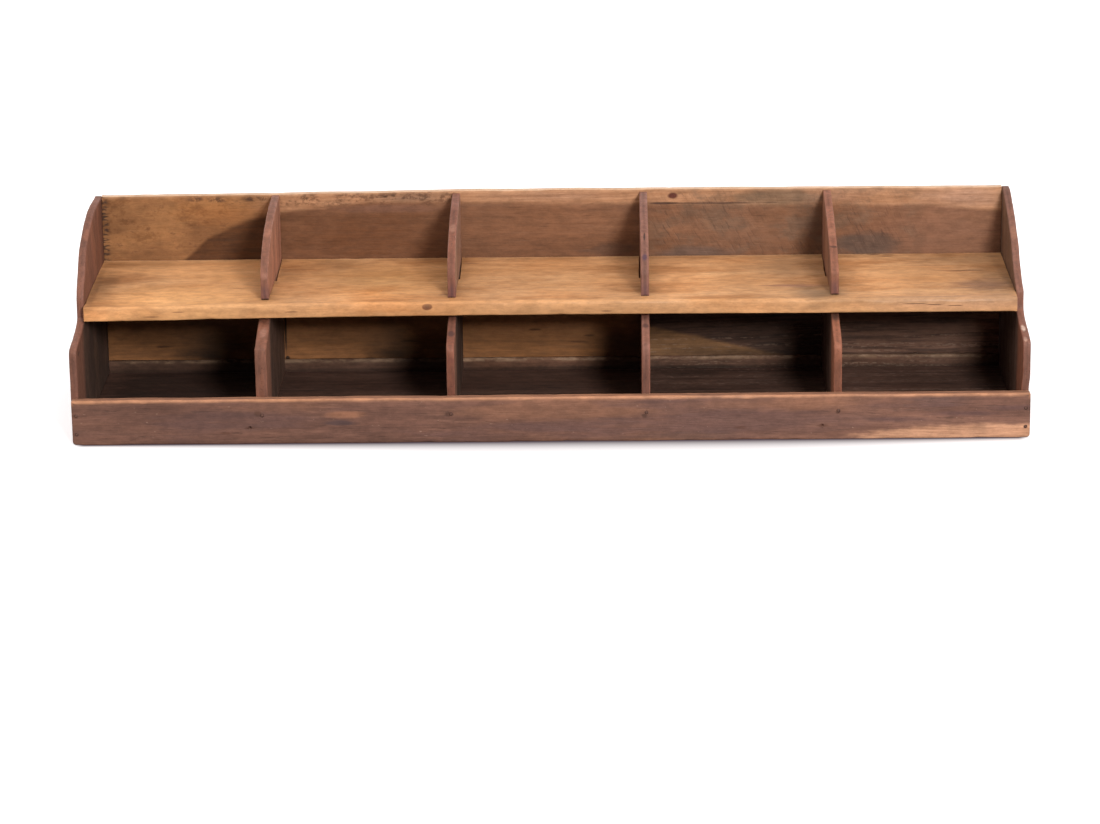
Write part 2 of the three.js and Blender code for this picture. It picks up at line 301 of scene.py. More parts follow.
class Nodes:
    """A node tree with short names for the nodes that are used often."""

    def __init__(self, tree):
        self.tree = tree
        tree.nodes.clear()

    def feed(self, socket, value):
        if isinstance(value, bpy.types.NodeSocket):
            self.tree.links.new(value, socket)
        else:
            socket.default_value = value

    def node(self, kind, inputs=None, **settings):
        made = self.tree.nodes.new(kind)
        for key, value in settings.items():
            setattr(made, key, value)
        for key, value in (inputs or {}).items():
            self.feed(made.inputs[key], value)
        return made

    def math(self, operation, a, b=0.0):
        made = self.node("ShaderNodeMath", {0: a, 1: b}, operation=operation)
        return made.outputs[0]

    def times(self, a, b):
        return self.math("MULTIPLY", a, b)

    def vector(self, operation, a, b=(0.0, 0.0, 0.0)):
        made = self.node("ShaderNodeVectorMath", {0: a, 1: b}, operation=operation)
        return made.outputs["Value" if operation == "LENGTH" else "Vector"]

    def mix(self, amount, a, b, blend="MIX"):
        made = self.node("ShaderNodeMix", {0: amount, 6: a, 7: b}, data_type="RGBA", blend_type=blend)
        return made.outputs[2]

    def remap(self, value, low, high, to_low=0.0, to_high=1.0, kind="SMOOTHSTEP"):
        inputs = {"Value": value, "From Min": low, "From Max": high, "To Min": to_low, "To Max": to_high}
        return self.node("ShaderNodeMapRange", inputs, interpolation_type=kind).outputs["Result"]

    def noise(self, vector, scale=1.0, detail=3.0, roughness=0.5, output="Fac"):
        inputs = {"Vector": vector, "Scale": scale, "Detail": detail, "Roughness": roughness}
        return self.node("ShaderNodeTexNoise", inputs).outputs[output]

    def ramp(self, value, stops):
        made = self.node("ShaderNodeValToRGB", {"Fac": value})
        elements = made.color_ramp.elements
        while len(elements) < len(stops):
            elements.new(0.5)
        for element, (position, colour) in zip(elements, stops):
            element.position = position
            element.color = colour
        return made.outputs["Color"]

    def any_ray(self, *kinds):
        """1 for rays of the named kinds, and 0 for others."""
        path = self.node("ShaderNodeLightPath").outputs
        found = path[kinds[0]]
        for kind in kinds[1:]:
            found = self.math("MAXIMUM", found, path[kind])
        return found


class Shade(Nodes):
    """A material made of nodes."""

    def __init__(self, name):
        self.material = bpy.data.materials.new(name)
        self.material.use_nodes = True
        super().__init__(self.material.node_tree)

    def output(self, shader):
        self.node("ShaderNodeOutputMaterial", {"Surface": shader})


class Wood(Shade):
    """Old planed hardwood. The grain runs along one axis of the part, and marks are laid on chosen faces."""

    def __init__(self, name, grain, face, seed, tones, pith=(40.0, 60.0), ring_gap=7.0, ring=0.15,
                 streak=0.25, fleck=0.3, mottle=0.16, cloud=0.2):
        super().__init__(name)
        dark, mid, light = tones
        self.grain = AXES[grain]
        self.face = AXES[face]
        self.place = self.node("ShaderNodeTexCoord").outputs["Object"]
        split = self.node("ShaderNodeSeparateXYZ", {0: self.place})
        self.parts = [split.outputs[axis] for axis in range(3)]
        own = Vector((seed * 3.71, seed * 1.93, seed * 2.57))
        self.moved = self.vector("ADD", self.place, own)
        drift = self.streaks(self.moved, 2.2, 9.0, detail=2.0, output="Color")
        drift = self.vector("SUBTRACT", drift, (0.5, 0.5, 0.5))
        self.bent = self.vector("ADD", self.moved, self.vector("MULTIPLY", drift, (0.016, 0.016, 0.016)))
        band = self.streaks(self.bent, 1.5, 24.0, detail=4.0, roughness=0.6)
        self.colour = self.ramp(band, ((0.3, dark), (0.5, mid), (0.7, light)))
        self.rings(own, pith, ring_gap)
        self.blend(self.ring_lines, dark, ring)
        self.thin = self.streaks(self.bent, 12.0, 260.0, detail=6.0, roughness=0.7)
        self.blend(self.remap(self.thin, 0.52, 0.74), dark, streak)
        self.blend(self.remap(self.thin, 0.48, 0.28), light, streak)
        short = self.streaks(self.bent, 38.0, 330.0, detail=4.0, roughness=0.65)
        self.flecks = self.remap(short, 0.59, 0.7)
        self.blend(self.flecks, self.deep(dark, 0.55), fleck)
        self.fibre = self.streaks(self.bent, 45.0, 1500.0, detail=2.0)
        self.pores = self.remap(self.streaks(self.moved, 38.0, 820.0, detail=1.0), 0.6, 0.72)
        self.blend(self.pores, self.deep(dark, 0.5), 0.5 * fleck)
        self.cloud = self.streaks(self.moved, 10.0, 22.0, detail=5.0, roughness=0.62)
        self.blend(self.remap(self.cloud, 0.45, 0.72), self.deep(mid, 0.6), cloud)
        self.fine = self.streaks(self.moved, 70.0, 150.0, detail=6.0, roughness=0.72)
        self.mottle = mottle
        self.near = self.node("ShaderNodeAttribute", attribute_name="wear").outputs["Fac"]
        self.raised = None

    @staticmethod
    def deep(colour, share):
        return (colour[0] * share, colour[1] * share, colour[2] * share, 1.0)

    def along(self, vector, lengthwise, crosswise):
        """Coordinates stretched along the grain: repeats per metre with the grain and across it."""
        scale = [crosswise] * 3
        scale[self.grain] = lengthwise
        return self.vector("MULTIPLY", vector, tuple(scale))

    def streaks(self, place, lengthwise, crosswise, **settings):
        """Noise that is drawn out along the grain."""
        return self.noise(self.along(place, lengthwise, crosswise), **settings)

    def two_tones(self, low, high, first, second):
        """A colour that goes from one tone to another with the thin streaks of the grain."""
        return self.mix(self.remap(self.thin, low, high), tone(*first), tone(*second))

    def rings(self, own, pith, gap):
        """Growth rings round a pith line that lies outside the board and leans a little."""
        others = [axis for axis in range(3) if axis != self.grain]
        centre = list(own)
        for axis, offset in zip(others, pith):
            centre[axis] += offset * MM
        moved = self.vector("SUBTRACT", self.bent, tuple(centre))
        scale = [1.0, 1.0, 1.0]
        scale[self.grain] = 0.12
        tilt = self.node("ShaderNodeMapping", {"Vector": moved, "Scale": tuple(scale)})
        lean = [0.0, 0.0, 0.0]
        lean[others[0]] = 0.25
        lean[others[1]] = 0.4
        tilt.inputs["Rotation"].default_value = lean
        inputs = {
            "Vector": tilt.outputs["Vector"], "Scale": 0.314 / (gap * MM), "Distortion": 5.0,
            "Detail": 3.0, "Detail Scale": 0.35, "Detail Roughness": 0.6,
        }
        wave = self.node("ShaderNodeTexWave", inputs, wave_type="RINGS", wave_profile="SIN")
        wave.rings_direction = "XYZ"[self.grain]
        self.ring_lines = self.remap(wave.outputs["Fac"], 0.5, 1.0)

    def blend(self, mask, colour, strength=1.0):
        """Lays a colour over what is there, by a mask."""
        if strength != 1.0:
            mask = self.times(mask, strength)
        self.colour = self.mix(mask, self.colour, colour)

    def darken(self, mask, share):
        """Multiplies what is there by a share of it, by a mask. The share can differ by colour."""
        tint = share if isinstance(share, tuple) else (share, share, share)
        self.colour = self.mix(mask, self.colour, (*tint, 1.0), "MULTIPLY")

    def vary(self, value, low, high, least, most):
        """Makes the colour darker and lighter as a pattern goes from low to high."""
        self.colour = self.mix(1.0, self.colour, self.remap(value, low, high, least, most), "MULTIPLY")

    def patches(self, colour, strength, lengthwise=5.0, crosswise=14.0, low=0.48, high=0.66):
        """Soft clouds of another hue."""
        cloud = self.streaks(self.bent, lengthwise, crosswise, detail=4.0, roughness=0.55)
        self.blend(self.remap(cloud, low, high), colour, strength)

    def worn(self, edge, amount, above=None):
        """Rubbed edges: the mesh carries how near a point lies to an edge."""
        rough = self.noise(self.moved, 38.0, detail=3.0, roughness=0.6)
        near = self.math("POWER", self.near, 1.7)
        rubbed = self.times(near, self.remap(rough, 0.25, 0.65, 0.55, 1.0))
        if above is not None:
            rubbed = self.times(rubbed, self.remap(self.parts[2], (above - 4) * MM, above * MM))
        self.blend(rubbed, edge, amount)

    def normal(self, axis):
        facing = self.node("ShaderNodeNewGeometry").outputs["Normal"]
        return self.node("ShaderNodeSeparateXYZ", {0: facing}).outputs[axis]

    def edge_faces(self, colour, strength):
        """Tints the narrow faces of a board and speckles them with the open ends of the grain."""
        flat = self.math("ABSOLUTE", self.normal(self.face))
        mask = self.remap(flat, 0.8, 0.4, 0.0, strength)
        self.narrow = mask
        warm = (colour[0] * 1.3, colour[1] * 1.12, colour[2] * 0.95, 1.0)
        tint = self.mix(self.remap(self.cloud, 0.4, 0.62), warm, self.deep(colour, 0.78))
        tint = self.mix(self.remap(self.thin, 0.45, 0.66, 0.0, 0.7), tint, self.deep(colour, 0.7))
        spots = self.noise(self.moved, 420.0, detail=2.0, roughness=0.6)
        tint = self.mix(self.remap(spots, 0.56, 0.68, 0.0, 0.6), tint, self.deep(colour, 0.35))
        self.blend(mask, tint)

    def inside(self, soft, x=(), y=(), z=()):
        """A soft box mask with limits in width, depth from the front and height. None is open."""
        mask = None
        for axis, limits in enumerate((x, y, z)):
            shift = FRONT if axis == 1 else 0.0
            for limit, sign in zip(limits, (1, -1)):
                if limit is None:
                    continue
                start = (limit + shift) * MM
                reach = sign * soft * MM / 2
                edge = self.remap(self.parts[axis], start - reach, start + reach)
                mask = edge if mask is None else self.times(mask, edge)
        return mask

    def mark_on(self, axis, level, reach):
        """Chooses the face that marks lie on: its axis, its place and how far in the marks reach."""
        self.plane = (AXES[axis], level, reach)

    def distance(self, centre, radii, ragged, reach=None):
        """How far a point lies from a mark's middle on the chosen face, as a share of the mark's radii."""
        axis, level, usual_reach = self.plane
        middle = [*centre[:axis], level, *centre[axis:]]
        middle[1] += FRONT
        sizes = (*radii[:axis], reach or usual_reach, *radii[axis:])
        moved = self.vector("SUBTRACT", self.place, tuple(value * MM for value in middle))
        moved = self.vector("MULTIPLY", moved, tuple(1.0 / (size * MM) for size in sizes))
        if ragged:
            shake = self.streaks(self.moved, 30.0, 90.0, detail=3.0, roughness=0.6, output="Color")
            shake = self.vector("SUBTRACT", shake, (0.5, 0.5, 0.5))
            moved = self.vector("ADD", moved, self.vector("MULTIPLY", shake, (ragged,) * 3))
        return self.vector("LENGTH", moved)

    def spot(self, centre, radii, colour, strength=0.8, soft=0.6, ragged=0.8, reach=None):
        """A stain, knot or pale patch."""
        far = self.distance(centre, radii, ragged, reach)
        self.blend(self.remap(far, 1.0, 1.0 - soft, 0.0, strength), tone(*colour))

    def shadowed(self, centre, radii, share, soft=0.7, ragged=0.8, reach=None):
        """A darker or lighter patch that keeps the pattern under it."""
        far = self.distance(centre, radii, ragged, reach)
        self.darken(self.remap(far, 1.0, 1.0 - soft), share)

    def shades(self, areas, *face):
        """Broad darker and lighter areas of a face."""
        self.mark_on(*face)
        for centre, radii, share in areas:
            self.shadowed(centre, radii, share, soft=0.9)

    def above_line(self, points, soft, ragged):
        """A mask of what lies above a line of (width, height) points, where the tone of a board changes."""
        first, last = points[0][0], points[-1][0]
        line = self.node("ShaderNodeFloatCurve")
        drawn = line.mapping.curves[0].points
        while len(drawn) < len(points):
            drawn.new(0.5, 0.5)
        for point, (width, height) in zip(drawn, points):
            point.location = ((width - first) / (last - first), height / HEIGHT)
            point.handle_type = "VECTOR"
        line.mapping.update()
        share = self.remap(self.parts[0], first * MM, last * MM, kind="LINEAR")
        self.feed(line.inputs["Value"], share)
        shake = self.streaks(self.bent, 9.0, 30.0, detail=4.0, roughness=0.6)
        height = self.math("DIVIDE", self.parts[2], HEIGHT * MM)
        height = self.math("ADD", height, self.times(self.math("SUBTRACT", shake, 0.5), ragged / HEIGHT))
        over = self.math("SUBTRACT", height, line.outputs["Value"])
        return self.remap(over, -soft / HEIGHT, soft / HEIGHT)

    def saw_lines(self, mask, angle, colour, strength):
        """Marks of an old saw: broken slanted lines that show as dark streaks and as relief."""
        turn = self.node("ShaderNodeMapping", {"Vector": self.bent})
        turn.inputs["Rotation"].default_value = (0.0, math.radians(angle), 0.0)

        def slanted(scale, detail=3.0, roughness=0.6):
            return self.noise(self.vector("MULTIPLY", turn.outputs["Vector"], scale), 1.0, detail, roughness)

        lines = self.times(self.remap(slanted((380.0, 40.0, 70.0)), 0.56, 0.7), mask)
        self.blend(lines, colour, strength)
        broad = slanted((170.0, 40.0, 30.0), 5.0, 0.7)
        self.darken(self.times(self.remap(broad, 0.5, 0.64), mask), (0.86, 0.84, 0.83))
        self.darken(self.times(self.remap(broad, 0.47, 0.36), mask), (1.1, 1.09, 1.07))
        pale = self.remap(slanted((420.0, 40.0, 56.0)), 0.62, 0.7)
        self.blend(self.times(pale, mask), tone(160, 124, 99), 0.3 * strength)
        self.raised = lines if self.raised is None else self.math("ADD", self.raised, lines)

    def scuffs(self, **limits):
        """A mask of rows of short pale scratches along the grain."""
        rows = self.streaks(self.bent, 4.0, 300.0, detail=2.0, roughness=0.6)
        dots = self.streaks(self.moved, 170.0, 420.0, detail=2.0, roughness=0.6)
        both = self.times(self.remap(rows, 0.52, 0.62), self.remap(dots, 0.46, 0.62))
        return self.times(both, self.inside(16, **limits))

    def shade(self, rough=0.6, rough_spread=0.15, bump=0.25, specular=0.2):
        """Joins the colour, roughness and relief to the shader."""
        self.vary(self.fibre, 0.25, 0.75, 0.94, 1.06)
        self.vary(self.fine, 0.34, 0.66, 1.0 - self.mottle, 1.0 + self.mottle)
        roughness = self.remap(self.cloud, 0.3, 0.7, rough - rough_spread, rough + rough_spread)
        height = self.times(self.fibre, 0.5)
        reliefs = ((self.pores, -0.6), (self.flecks, -0.5), (self.ring_lines, -0.3), (self.thin, 0.8))
        for pattern, rise in reliefs:
            height = self.math("ADD", height, self.times(pattern, rise))
        if self.raised is not None:
            height = self.math("SUBTRACT", height, self.raised)
        relief = self.node("ShaderNodeBump", {"Strength": bump, "Distance": 0.0006, "Height": height})
        inputs = {"Base Color": self.colour, "Roughness": roughness, "Normal": relief.outputs["Normal"]}
        shader = self.node("ShaderNodeBsdfPrincipled", inputs)
        shader.inputs["Specular IOR Level"].default_value = specular
        self.output(shader.outputs["BSDF"])
        return self.material


# Outlines and worn boards

def curve(points, count):
    """Points along a curve that is drawn towards its control points, without the first."""
    made = []
    for step in range(1, count + 1):
        t = step / count
        row = points
        while len(row) > 1:
            row = [(a[0] + (b[0] - a[0]) * t, a[1] + (b[1] - a[1]) * t) for a, b in zip(row, row[1:])]
        made.append(row[0])
    return made


def rounded(corners):
    """Points of an outline whose corners (u, v, radius) are rounded where they have a radius."""
    points = []
    for i, corner in enumerate(corners):
        here = Vector(corner[:2])
        radius = corner[2] if len(corner) > 2 else 0.0
        before = here - Vector(corners[i - 1][:2])
        after = Vector(corners[(i + 1) % len(corners)][:2]) - here
        if radius <= 0 or before.length < 1e-6 or after.length < 1e-6:
            points.append(tuple(here))
            continue
        before.normalize()
        after.normalize()
        turn = math.acos(max(-1.0, min(1.0, before.dot(after))))
        reach = radius * math.tan(turn / 2)
        steps = max(2, round(turn / math.radians(22)))
        start = here - before * reach
        middle = here + (after - before).normalized() * (radius / math.cos(turn / 2))
        side = 1 if before.cross(after) > 0 else -1
        for step in range(steps + 1):
            a = side * turn * step / steps
            arm = start - middle
            points.append((
                middle.x + arm.x * math.cos(a) - arm.y * math.sin(a),
                middle.y + arm.x * math.sin(a) + arm.y * math.cos(a),
            ))
    return points


def spread(points, step):
    """The same outline with points added along its long straight runs."""
    dense = []
    for i, point in enumerate(points):
        following = points[(i + 1) % len(points)]
        length = math.dist(point, following)
        if length < 1e-4:
            continue
        count = max(1, math.ceil(length / step))
        for k in range(count):
            t = k / count
            dense.append((point[0] + (following[0] - point[0]) * t, point[1] + (following[1] - point[1]) * t))
    return dense


def to_frame(axes, u, v, w):
    """A point of a board in the part's frame: axes names what the outline is drawn in."""
    if axes == "yz":
        return Vector((w, u + FRONT, v)) * MM
    if axes == "xy":
        return Vector((u, v + FRONT, w)) * MM
    return Vector((u, w + FRONT, v)) * MM


def read_outline(points):
    """Inward normals, the room for a round edge and the length so far, at each point of an outline."""
    count = len(points)
    normals, limits, lengths = [], [], [0.0]
    sharp = []
    for i in range(count):
        here = Vector(points[i])
        before = here - Vector(points[i - 1])
        after = Vector(points[(i + 1) % count]) - here
        lengths.append(lengths[-1] + after.length)
        first = Vector((-before.y, before.x)).normalized()
        second = Vector((-after.y, after.x)).normalized()
        middle = first + second
        middle = middle.normalized() if middle.length > 1e-6 else first
        normals.append(middle / max(0.5, middle.dot(first)))
        turn = math.atan2(before.cross(after), before.dot(after))
        limit = OPEN_ROOM
        if turn > GENTLE_TURN:
            limit = 0.8 * min(before.length, after.length) / turn
            if turn > SHARP_TURN:
                limit = SHARP_ROOM
            sharp.append(i)
        limits.append(limit)
    total = lengths[-1]
    for i in range(count):
        for k in sharp:
            gap = abs(lengths[i] - lengths[k])
            gap = min(gap, total - gap)
            limits[i] = min(limits[i], limits[k] + 0.9 * gap)
    return normals, limits, lengths


def edge_rings(points, lengths, limits, thickness, arris, seed, dents):
    """Rings of a board from face to face: each point has its inset, its depth in the board and its wear."""
    total = lengths[-1]
    rng = random.Random(seed)
    hits = [
        (rng.uniform(0, total), rng.choice((-1, 1)), rng.uniform(*DENT_WIDTH), rng.uniform(*DENT_DEPTH))
        for _ in range(dents)
    ]

    def radius(i, side):
        base = arris(*points[i], side)
        place = Vector((lengths[i] * 0.035, seed * 5.3, side * 7.7))
        base *= 1.0 + 0.45 * noise.noise(place) + 0.25 * noise.noise(place * 4.1)
        for at, hit_side, width, deep in hits:
            gap = abs(lengths[i] - at)
            gap = min(gap, total - gap)
            if hit_side == side and gap < width * 2:
                base += deep * math.exp(-(gap / width) ** 2)
        return max(0.1, min(base, thickness * 0.45, 0.7 * limits[i]))

    def half(side):
        rows = []
        radii = [radius(i, side) for i in range(len(points))]
        for extra, share, wear in FACE_RINGS:
            insets = [r + min(extra, share * max(0.05, limits[i] - r)) for i, r in enumerate(radii)]
            rows.append([(inset, 0.0, wear) for inset in insets])
        for step in range(EDGE_STEPS + 1):
            a = math.pi / 2 * step / EDGE_STEPS
            rows.append([(r * (1 - math.sin(a)), r * (1 - math.cos(a)), 1.0) for r in radii])
        return rows

    rings = half(-1)
    rings.append([(0.0, thickness / 2, MIDDLE_WEAR)] * len(points))
    for row in reversed(half(1)):
        rings.append([(inset, thickness - deep, wear) for inset, deep, wear in row])
    return rings


def worn_board(name, corners, axes, start, thickness, arris, seed, wander=0.35, dents=14, shift=None):
    """A board lofted over its thickness, with hand-worn edges of varying radius and a few dents."""
    points = spread(rounded(corners), OUTLINE_STEP)
    area = sum(a[0] * b[1] - b[0] * a[1] for a, b in zip(points, points[1:] + points[:1]))
    if area < 0:
        points.reverse()
    count = len(points)
    normals, limits, lengths = read_outline(points)
    rings = edge_rings(points, lengths, limits, thickness, arris, seed, dents)
    waver = []
    for i, limit in enumerate(limits):
        value = wander * noise.noise(Vector((lengths[i] * 0.018, seed * 3.1, 2.0)))
        waver.append(max(-limit * 0.3, min(limit * 0.3, value)))
    vertices, worn = [], []
    for ring in rings:
        for i, (inset, w, wear) in enumerate(ring):
            u = points[i][0] + normals[i].x * (inset + waver[i])
            v = points[i][1] + normals[i].y * (inset + waver[i])
            vertices.append(to_frame(axes, u, v, start + w))
            worn.append(wear)
    faces = []
    for k in range(len(rings) - 1):
        row = k * count
        for i in range(count):
            following = (i + 1) % count
            faces.append((row + i, row + following, row + count + following, row + count + i))
    faces.append(tuple(range(count)))
    faces.append(tuple((len(rings) - 1) * count + i for i in range(count)))
    mesh = bpy.data.meshes.new(name)
    mesh.from_pydata(vertices, [], faces)
    mesh.attributes.new("wear", "FLOAT", "POINT").data.foreach_set("value", worn)
    divide_faces(mesh, axes)
    unevenness(mesh, axes, seed, shift)
    tidy_normals(mesh, True)
    return add_object(name, mesh)


def divide_faces(mesh, axes):
    """Divides a board's two wide faces into cells, so that they can be uneven as planed wood is."""
    thin = 3 - sum("xyz".index(axis) for axis in axes)
    work = bmesh.new()
    work.from_mesh(mesh)
    for axis in ("xyz".index(letter) for letter in axes):
        low = min(vertex.co[axis] for vertex in work.verts)
        high = max(vertex.co[axis] for vertex in work.verts)
        count = max(2, round((high - low) / (CELL * MM)))
        for k in range(1, count):
            wide = [face for face in work.faces if abs(face.normal[thin]) > 0.999]
            edges = {edge for face in wide for edge in face.edges}
            corners = {vertex for face in wide for vertex in face.verts}
            place = Vector((0.0, 0.0, 0.0))
            place[axis] = low + (high - low) * k / count + CUT_OFFSET * MM
            across = Vector((0.0, 0.0, 0.0))
            across[axis] = 1.0
            bmesh.ops.bisect_plane(
                work, geom=wide + list(edges) + list(corners), dist=1e-7, plane_co=place, plane_no=across,
            )
    work.to_mesh(mesh)
    work.free()


def unevenness(mesh, axes, seed, shift):
    """Lets a board's wide faces rise and fall a little, and moves points as the board has settled."""
    thin = 3 - sum("xyz".index(axis) for axis in axes)
    for vertex in mesh.vertices:
        place = vertex.co.copy()
        wave = noise.noise(place * 11.0 + Vector((seed * 1.7, seed * 0.9, 4.0)))
        wave += 0.5 * noise.noise(place * 29.0 + Vector((seed * 0.3, 8.0, seed * 2.1)))
        vertex.co[thin] += UNEVENNESS * MM * wave
        if shift is not None:
            vertex.co += shift(place)


def tidy_normals(mesh, split=False):
    work = bmesh.new()
    work.from_mesh(mesh)
    if split:
        bmesh.ops.triangulate(work, faces=[face for face in work.faces if len(face.verts) > 4])
        bmesh.ops.dissolve_degenerate(work, dist=1e-6, edges=work.edges)
    bmesh.ops.recalc_face_normals(work, faces=work.faces)
    for face in work.faces:
        face.smooth = True
    work.to_mesh(mesh)
    work.free()


def lathe(profile, sides):
    """Vertices and faces of a shape turned about +Z. Its (radius, height) pairs begin and end on the axis."""
    vertices = [Vector((0, 0, profile[0][1]))]
    for radius, height in profile[1:-1]:
        for k in range(sides):
            a = 2 * math.pi * k / sides
            vertices.append(Vector((radius * math.cos(a), radius * math.sin(a), height)))
    vertices.append(Vector((0, 0, profile[-1][1])))
    faces = []
    rows = len(profile) - 2
    last = len(vertices) - 1
    for k in range(sides):
        n = (k + 1) % sides
        faces.append((0, 1 + n, 1 + k))
        for row in range(rows - 1):
            a = 1 + row * sides
            b = a + sides
            faces.append((a + k, a + n, b + n, b + k))
        faces.append((1 + (rows - 1) * sides + k, 1 + (rows - 1) * sides + n, last))
    return vertices, faces


def nail_frame(node):
    """Where a nail's head lies, which way it points and how long it is, from its packed box."""
    low, high = (Vector(corner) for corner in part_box(node))
    size = high - low
    axis = max(range(3), key=lambda k: size[k])
    middle = (low + high) / 2
    head = middle.copy()
    outside_low = low[axis] - cad_box[0][axis]
    outside_high = cad_box[1][axis] - high[axis]
    sign = -1 if outside_low < outside_high else 1
    head[axis] = low[axis] if sign < 0 else high[axis]
    out = Vector((0.0, 0.0, 0.0))
    out[axis] = sign
    return head, out, size[axis]


def turned(vertices, head, out):
    turn = out.to_track_quat("Z", "Y").to_matrix()
    return [head + turn @ vertex for vertex in vertices]


def nail_outline(point, head, length):
    """Half outline of a nail or its hole. Heights count from the tip at the point, and from 0 at the head."""
    low = [(radius * MM, -length + height * MM) for radius, height in point]
    return low + [(radius * MM, height * MM) for radius, height in head]


def make_nails(material):
    for index, node in enumerate(sorted(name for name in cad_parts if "nail" in name)):
        head, out, length = nail_frame(node)
        rng = random.Random(index + 50)
        vertices, faces = lathe(nail_outline(NAIL_POINT, NAIL_HEAD, length), NAIL_SIDES)
        lean = Vector((rng.uniform(-1, 1), rng.uniform(-1, 1), 0.0)) * HEAD_LEAN
        for vertex in vertices:
            if vertex.z > -HEAD_DEPTH * MM:
                around = math.atan2(vertex.y, vertex.x)
                oval = HEAD_OVAL * math.sin(2 * around + index)
                vertex.xy *= 1.0 + oval + HEAD_LOBES * math.sin(3 * around + 2 * index)
                vertex.z -= max(0.0, vertex.x * lean.x + vertex.y * lean.y)
        mesh = bpy.data.meshes.new(node + "_iron")
        mesh.from_pydata(turned(vertices, head, out), [], faces)
        tidy_normals(mesh)
        mesh.set_sharp_from_angle(angle=math.radians(NAIL_SHARP))
        mesh.materials.append(material)
        piece = add_object(node + "_iron", mesh)
        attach(piece, "root")
        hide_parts(node)


def add_hole(store, head, out, length):
    """A nail's hole, a little wider than the nail, open at the surface."""
    vertices, faces = lathe(nail_outline(HOLE_POINT, HOLE_HEAD, length), HOLE_SIDES)
    first = len(store[0])
    store[0].extend(turned(vertices, head, out))
    store[1].extend(tuple(first + index for index in face) for face in faces)


def cut_holes(piece, node, extra):
    """Cuts the holes of every nail that reaches into this board, and its old empty ones."""
    low, high = (Vector(corner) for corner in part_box(node))
    store = ([], [])
    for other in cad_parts:
        if "nail" not in other:
            continue
        a, b = (Vector(corner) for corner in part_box(other))
        if all(a[k] < high[k] - LEAST_ENTRY and b[k] > low[k] + LEAST_ENTRY for k in range(3)):
            add_hole(store, *nail_frame(other))
    for place, out, length in extra:
        spot = Vector((place[0], place[1] + FRONT, place[2])) * MM
        add_hole(store, spot, Vector(out), length * MM)
    if not store[0]:
        return
    mesh = bpy.data.meshes.new("holes")
    mesh.from_pydata(store[0], [], store[1])
    tidy_normals(mesh)
    cutter = add_object("holes", mesh)
    modifier = piece.modifiers.new("holes", "BOOLEAN")
    modifier.operation = "DIFFERENCE"
    modifier.solver = "MANIFOLD"
    modifier.object = cutter
    bpy.context.view_layer.update()
    solved = piece.evaluated_get(bpy.context.evaluated_depsgraph_get())
    cut = bpy.data.meshes.new_from_object(solved)
    tidy_normals(cut, True)
    piece.modifiers.clear()
    old = piece.data
    piece.data = cut
    bpy.data.meshes.remove(old)
    bpy.data.objects.remove(cutter)
    bpy.data.meshes.remove(mesh)


def seat(piece, node, material):
    """Gives a finished board its material and its place in the frame."""
    piece.data.materials.clear()
    piece.data.materials.append(material)
    for face in piece.data.polygons:
        face.use_smooth = True
        face.material_index = 0
    piece.data.set_sharp_from_angle(angle=math.radians(BOARD_SHARP))
    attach(piece, "root")
    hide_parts(node)


# Shapes of the boards

def upper_edge(foot, foot_height, fullness, height):
    top = DEPTH - TOP_FLAT
    first = (top - fullness * (top - foot), height)
    second = (foot, foot_height + fullness * (height - foot_height))
    return curve([(top, height), first, second, (foot, foot_height)], CURVE_POINTS)


def side_corners(setback, fullness, height):
    def cant(depth):
        return STEP_HEIGHT + CANT_SLOPE * (depth - RAIL_BACK)

    end = (setback - SWEEP, cant(setback - SWEEP))
    corners = [(RAIL_BACK, FOOT_LIFT, 1.5), (DEPTH, FOOT_LIFT, 1.5)]
    corners += [(DEPTH, height, 2.5), (DEPTH - TOP_FLAT, height)]
    corners += upper_edge(setback, SHELF_TOP, fullness, height)
    corners += [(setback, SHELF_BOTTOM)]
    corners += curve([(setback, SHELF_BOTTOM), (setback, cant(setback)), end], SWEEP_POINTS)
    corners += [(RAIL_BACK, STEP_HEIGHT, STEP_RADIUS)]
    return corners


def divider_corners(fullness, step_radius):
    rear = BACK_FACE - GAP
    low_rear = SLAT_FACE - GAP
    foot = FLOOR_TOP + GAP
    corners = [(RAIL_BACK, foot, 1.0), (low_rear, foot)]
    corners += [(low_rear, SLAT_HEIGHT + GAP), (rear, SLAT_HEIGHT + GAP)]
    corners += [(rear, DIVIDER_TOP, 1.5), (DEPTH - TOP_FLAT, DIVIDER_TOP)]
    corners += upper_edge(DIVIDER_SETBACK, SHELF_TOP + CURVE_RISE, fullness, DIVIDER_TOP)
    corners += [(DIVIDER_SETBACK, SHELF_TOP + GAP, 1.0), (SLOT_END, SHELF_TOP + GAP)]
    corners += [(SLOT_END, SHELF_BOTTOM - GAP), (DIVIDER_CANT, SHELF_BOTTOM - GAP, 2.0)]
    corners += [(RAIL_BACK, DIVIDER_STEP, step_radius)]
    return corners


def rectangle(end, low, high, low_radius=0.0, high_radius=0.0):
    """A board's outline from -end to end, with round lower and upper corners."""
    lower = [(-end, low, low_radius), (end, low, low_radius)]
    return lower + [(end, high, high_radius), (-end, high, high_radius)]


def shelf_corners():
    rear = BACK_FACE - GAP
    corners = [(-INNER_END, SHELF_FRONT, 1.5), (INNER_END, SHELF_FRONT, 1.5), (INNER_END, rear)]
    narrow = DIVIDER / 2 + SLOT_SLACK
    wide = DIVIDER / 2 + SLOT_WEAR
    for centre in reversed(DIVIDER_CENTRES):
        right, left = (wide, narrow) if centre < 0 else (narrow, wide)
        corners += [(centre + narrow, rear), (centre + right, SLOT_END - GAP)]
        corners += [(centre - left, SLOT_END - GAP), (centre - narrow, rear)]
    corners += [(-INNER_END, rear)]
    return corners


def smooth_step(value, low, high):
    t = max(0.0, min(1.0, (value - low) / (high - low)))
    return t * t * (3 - 2 * t)


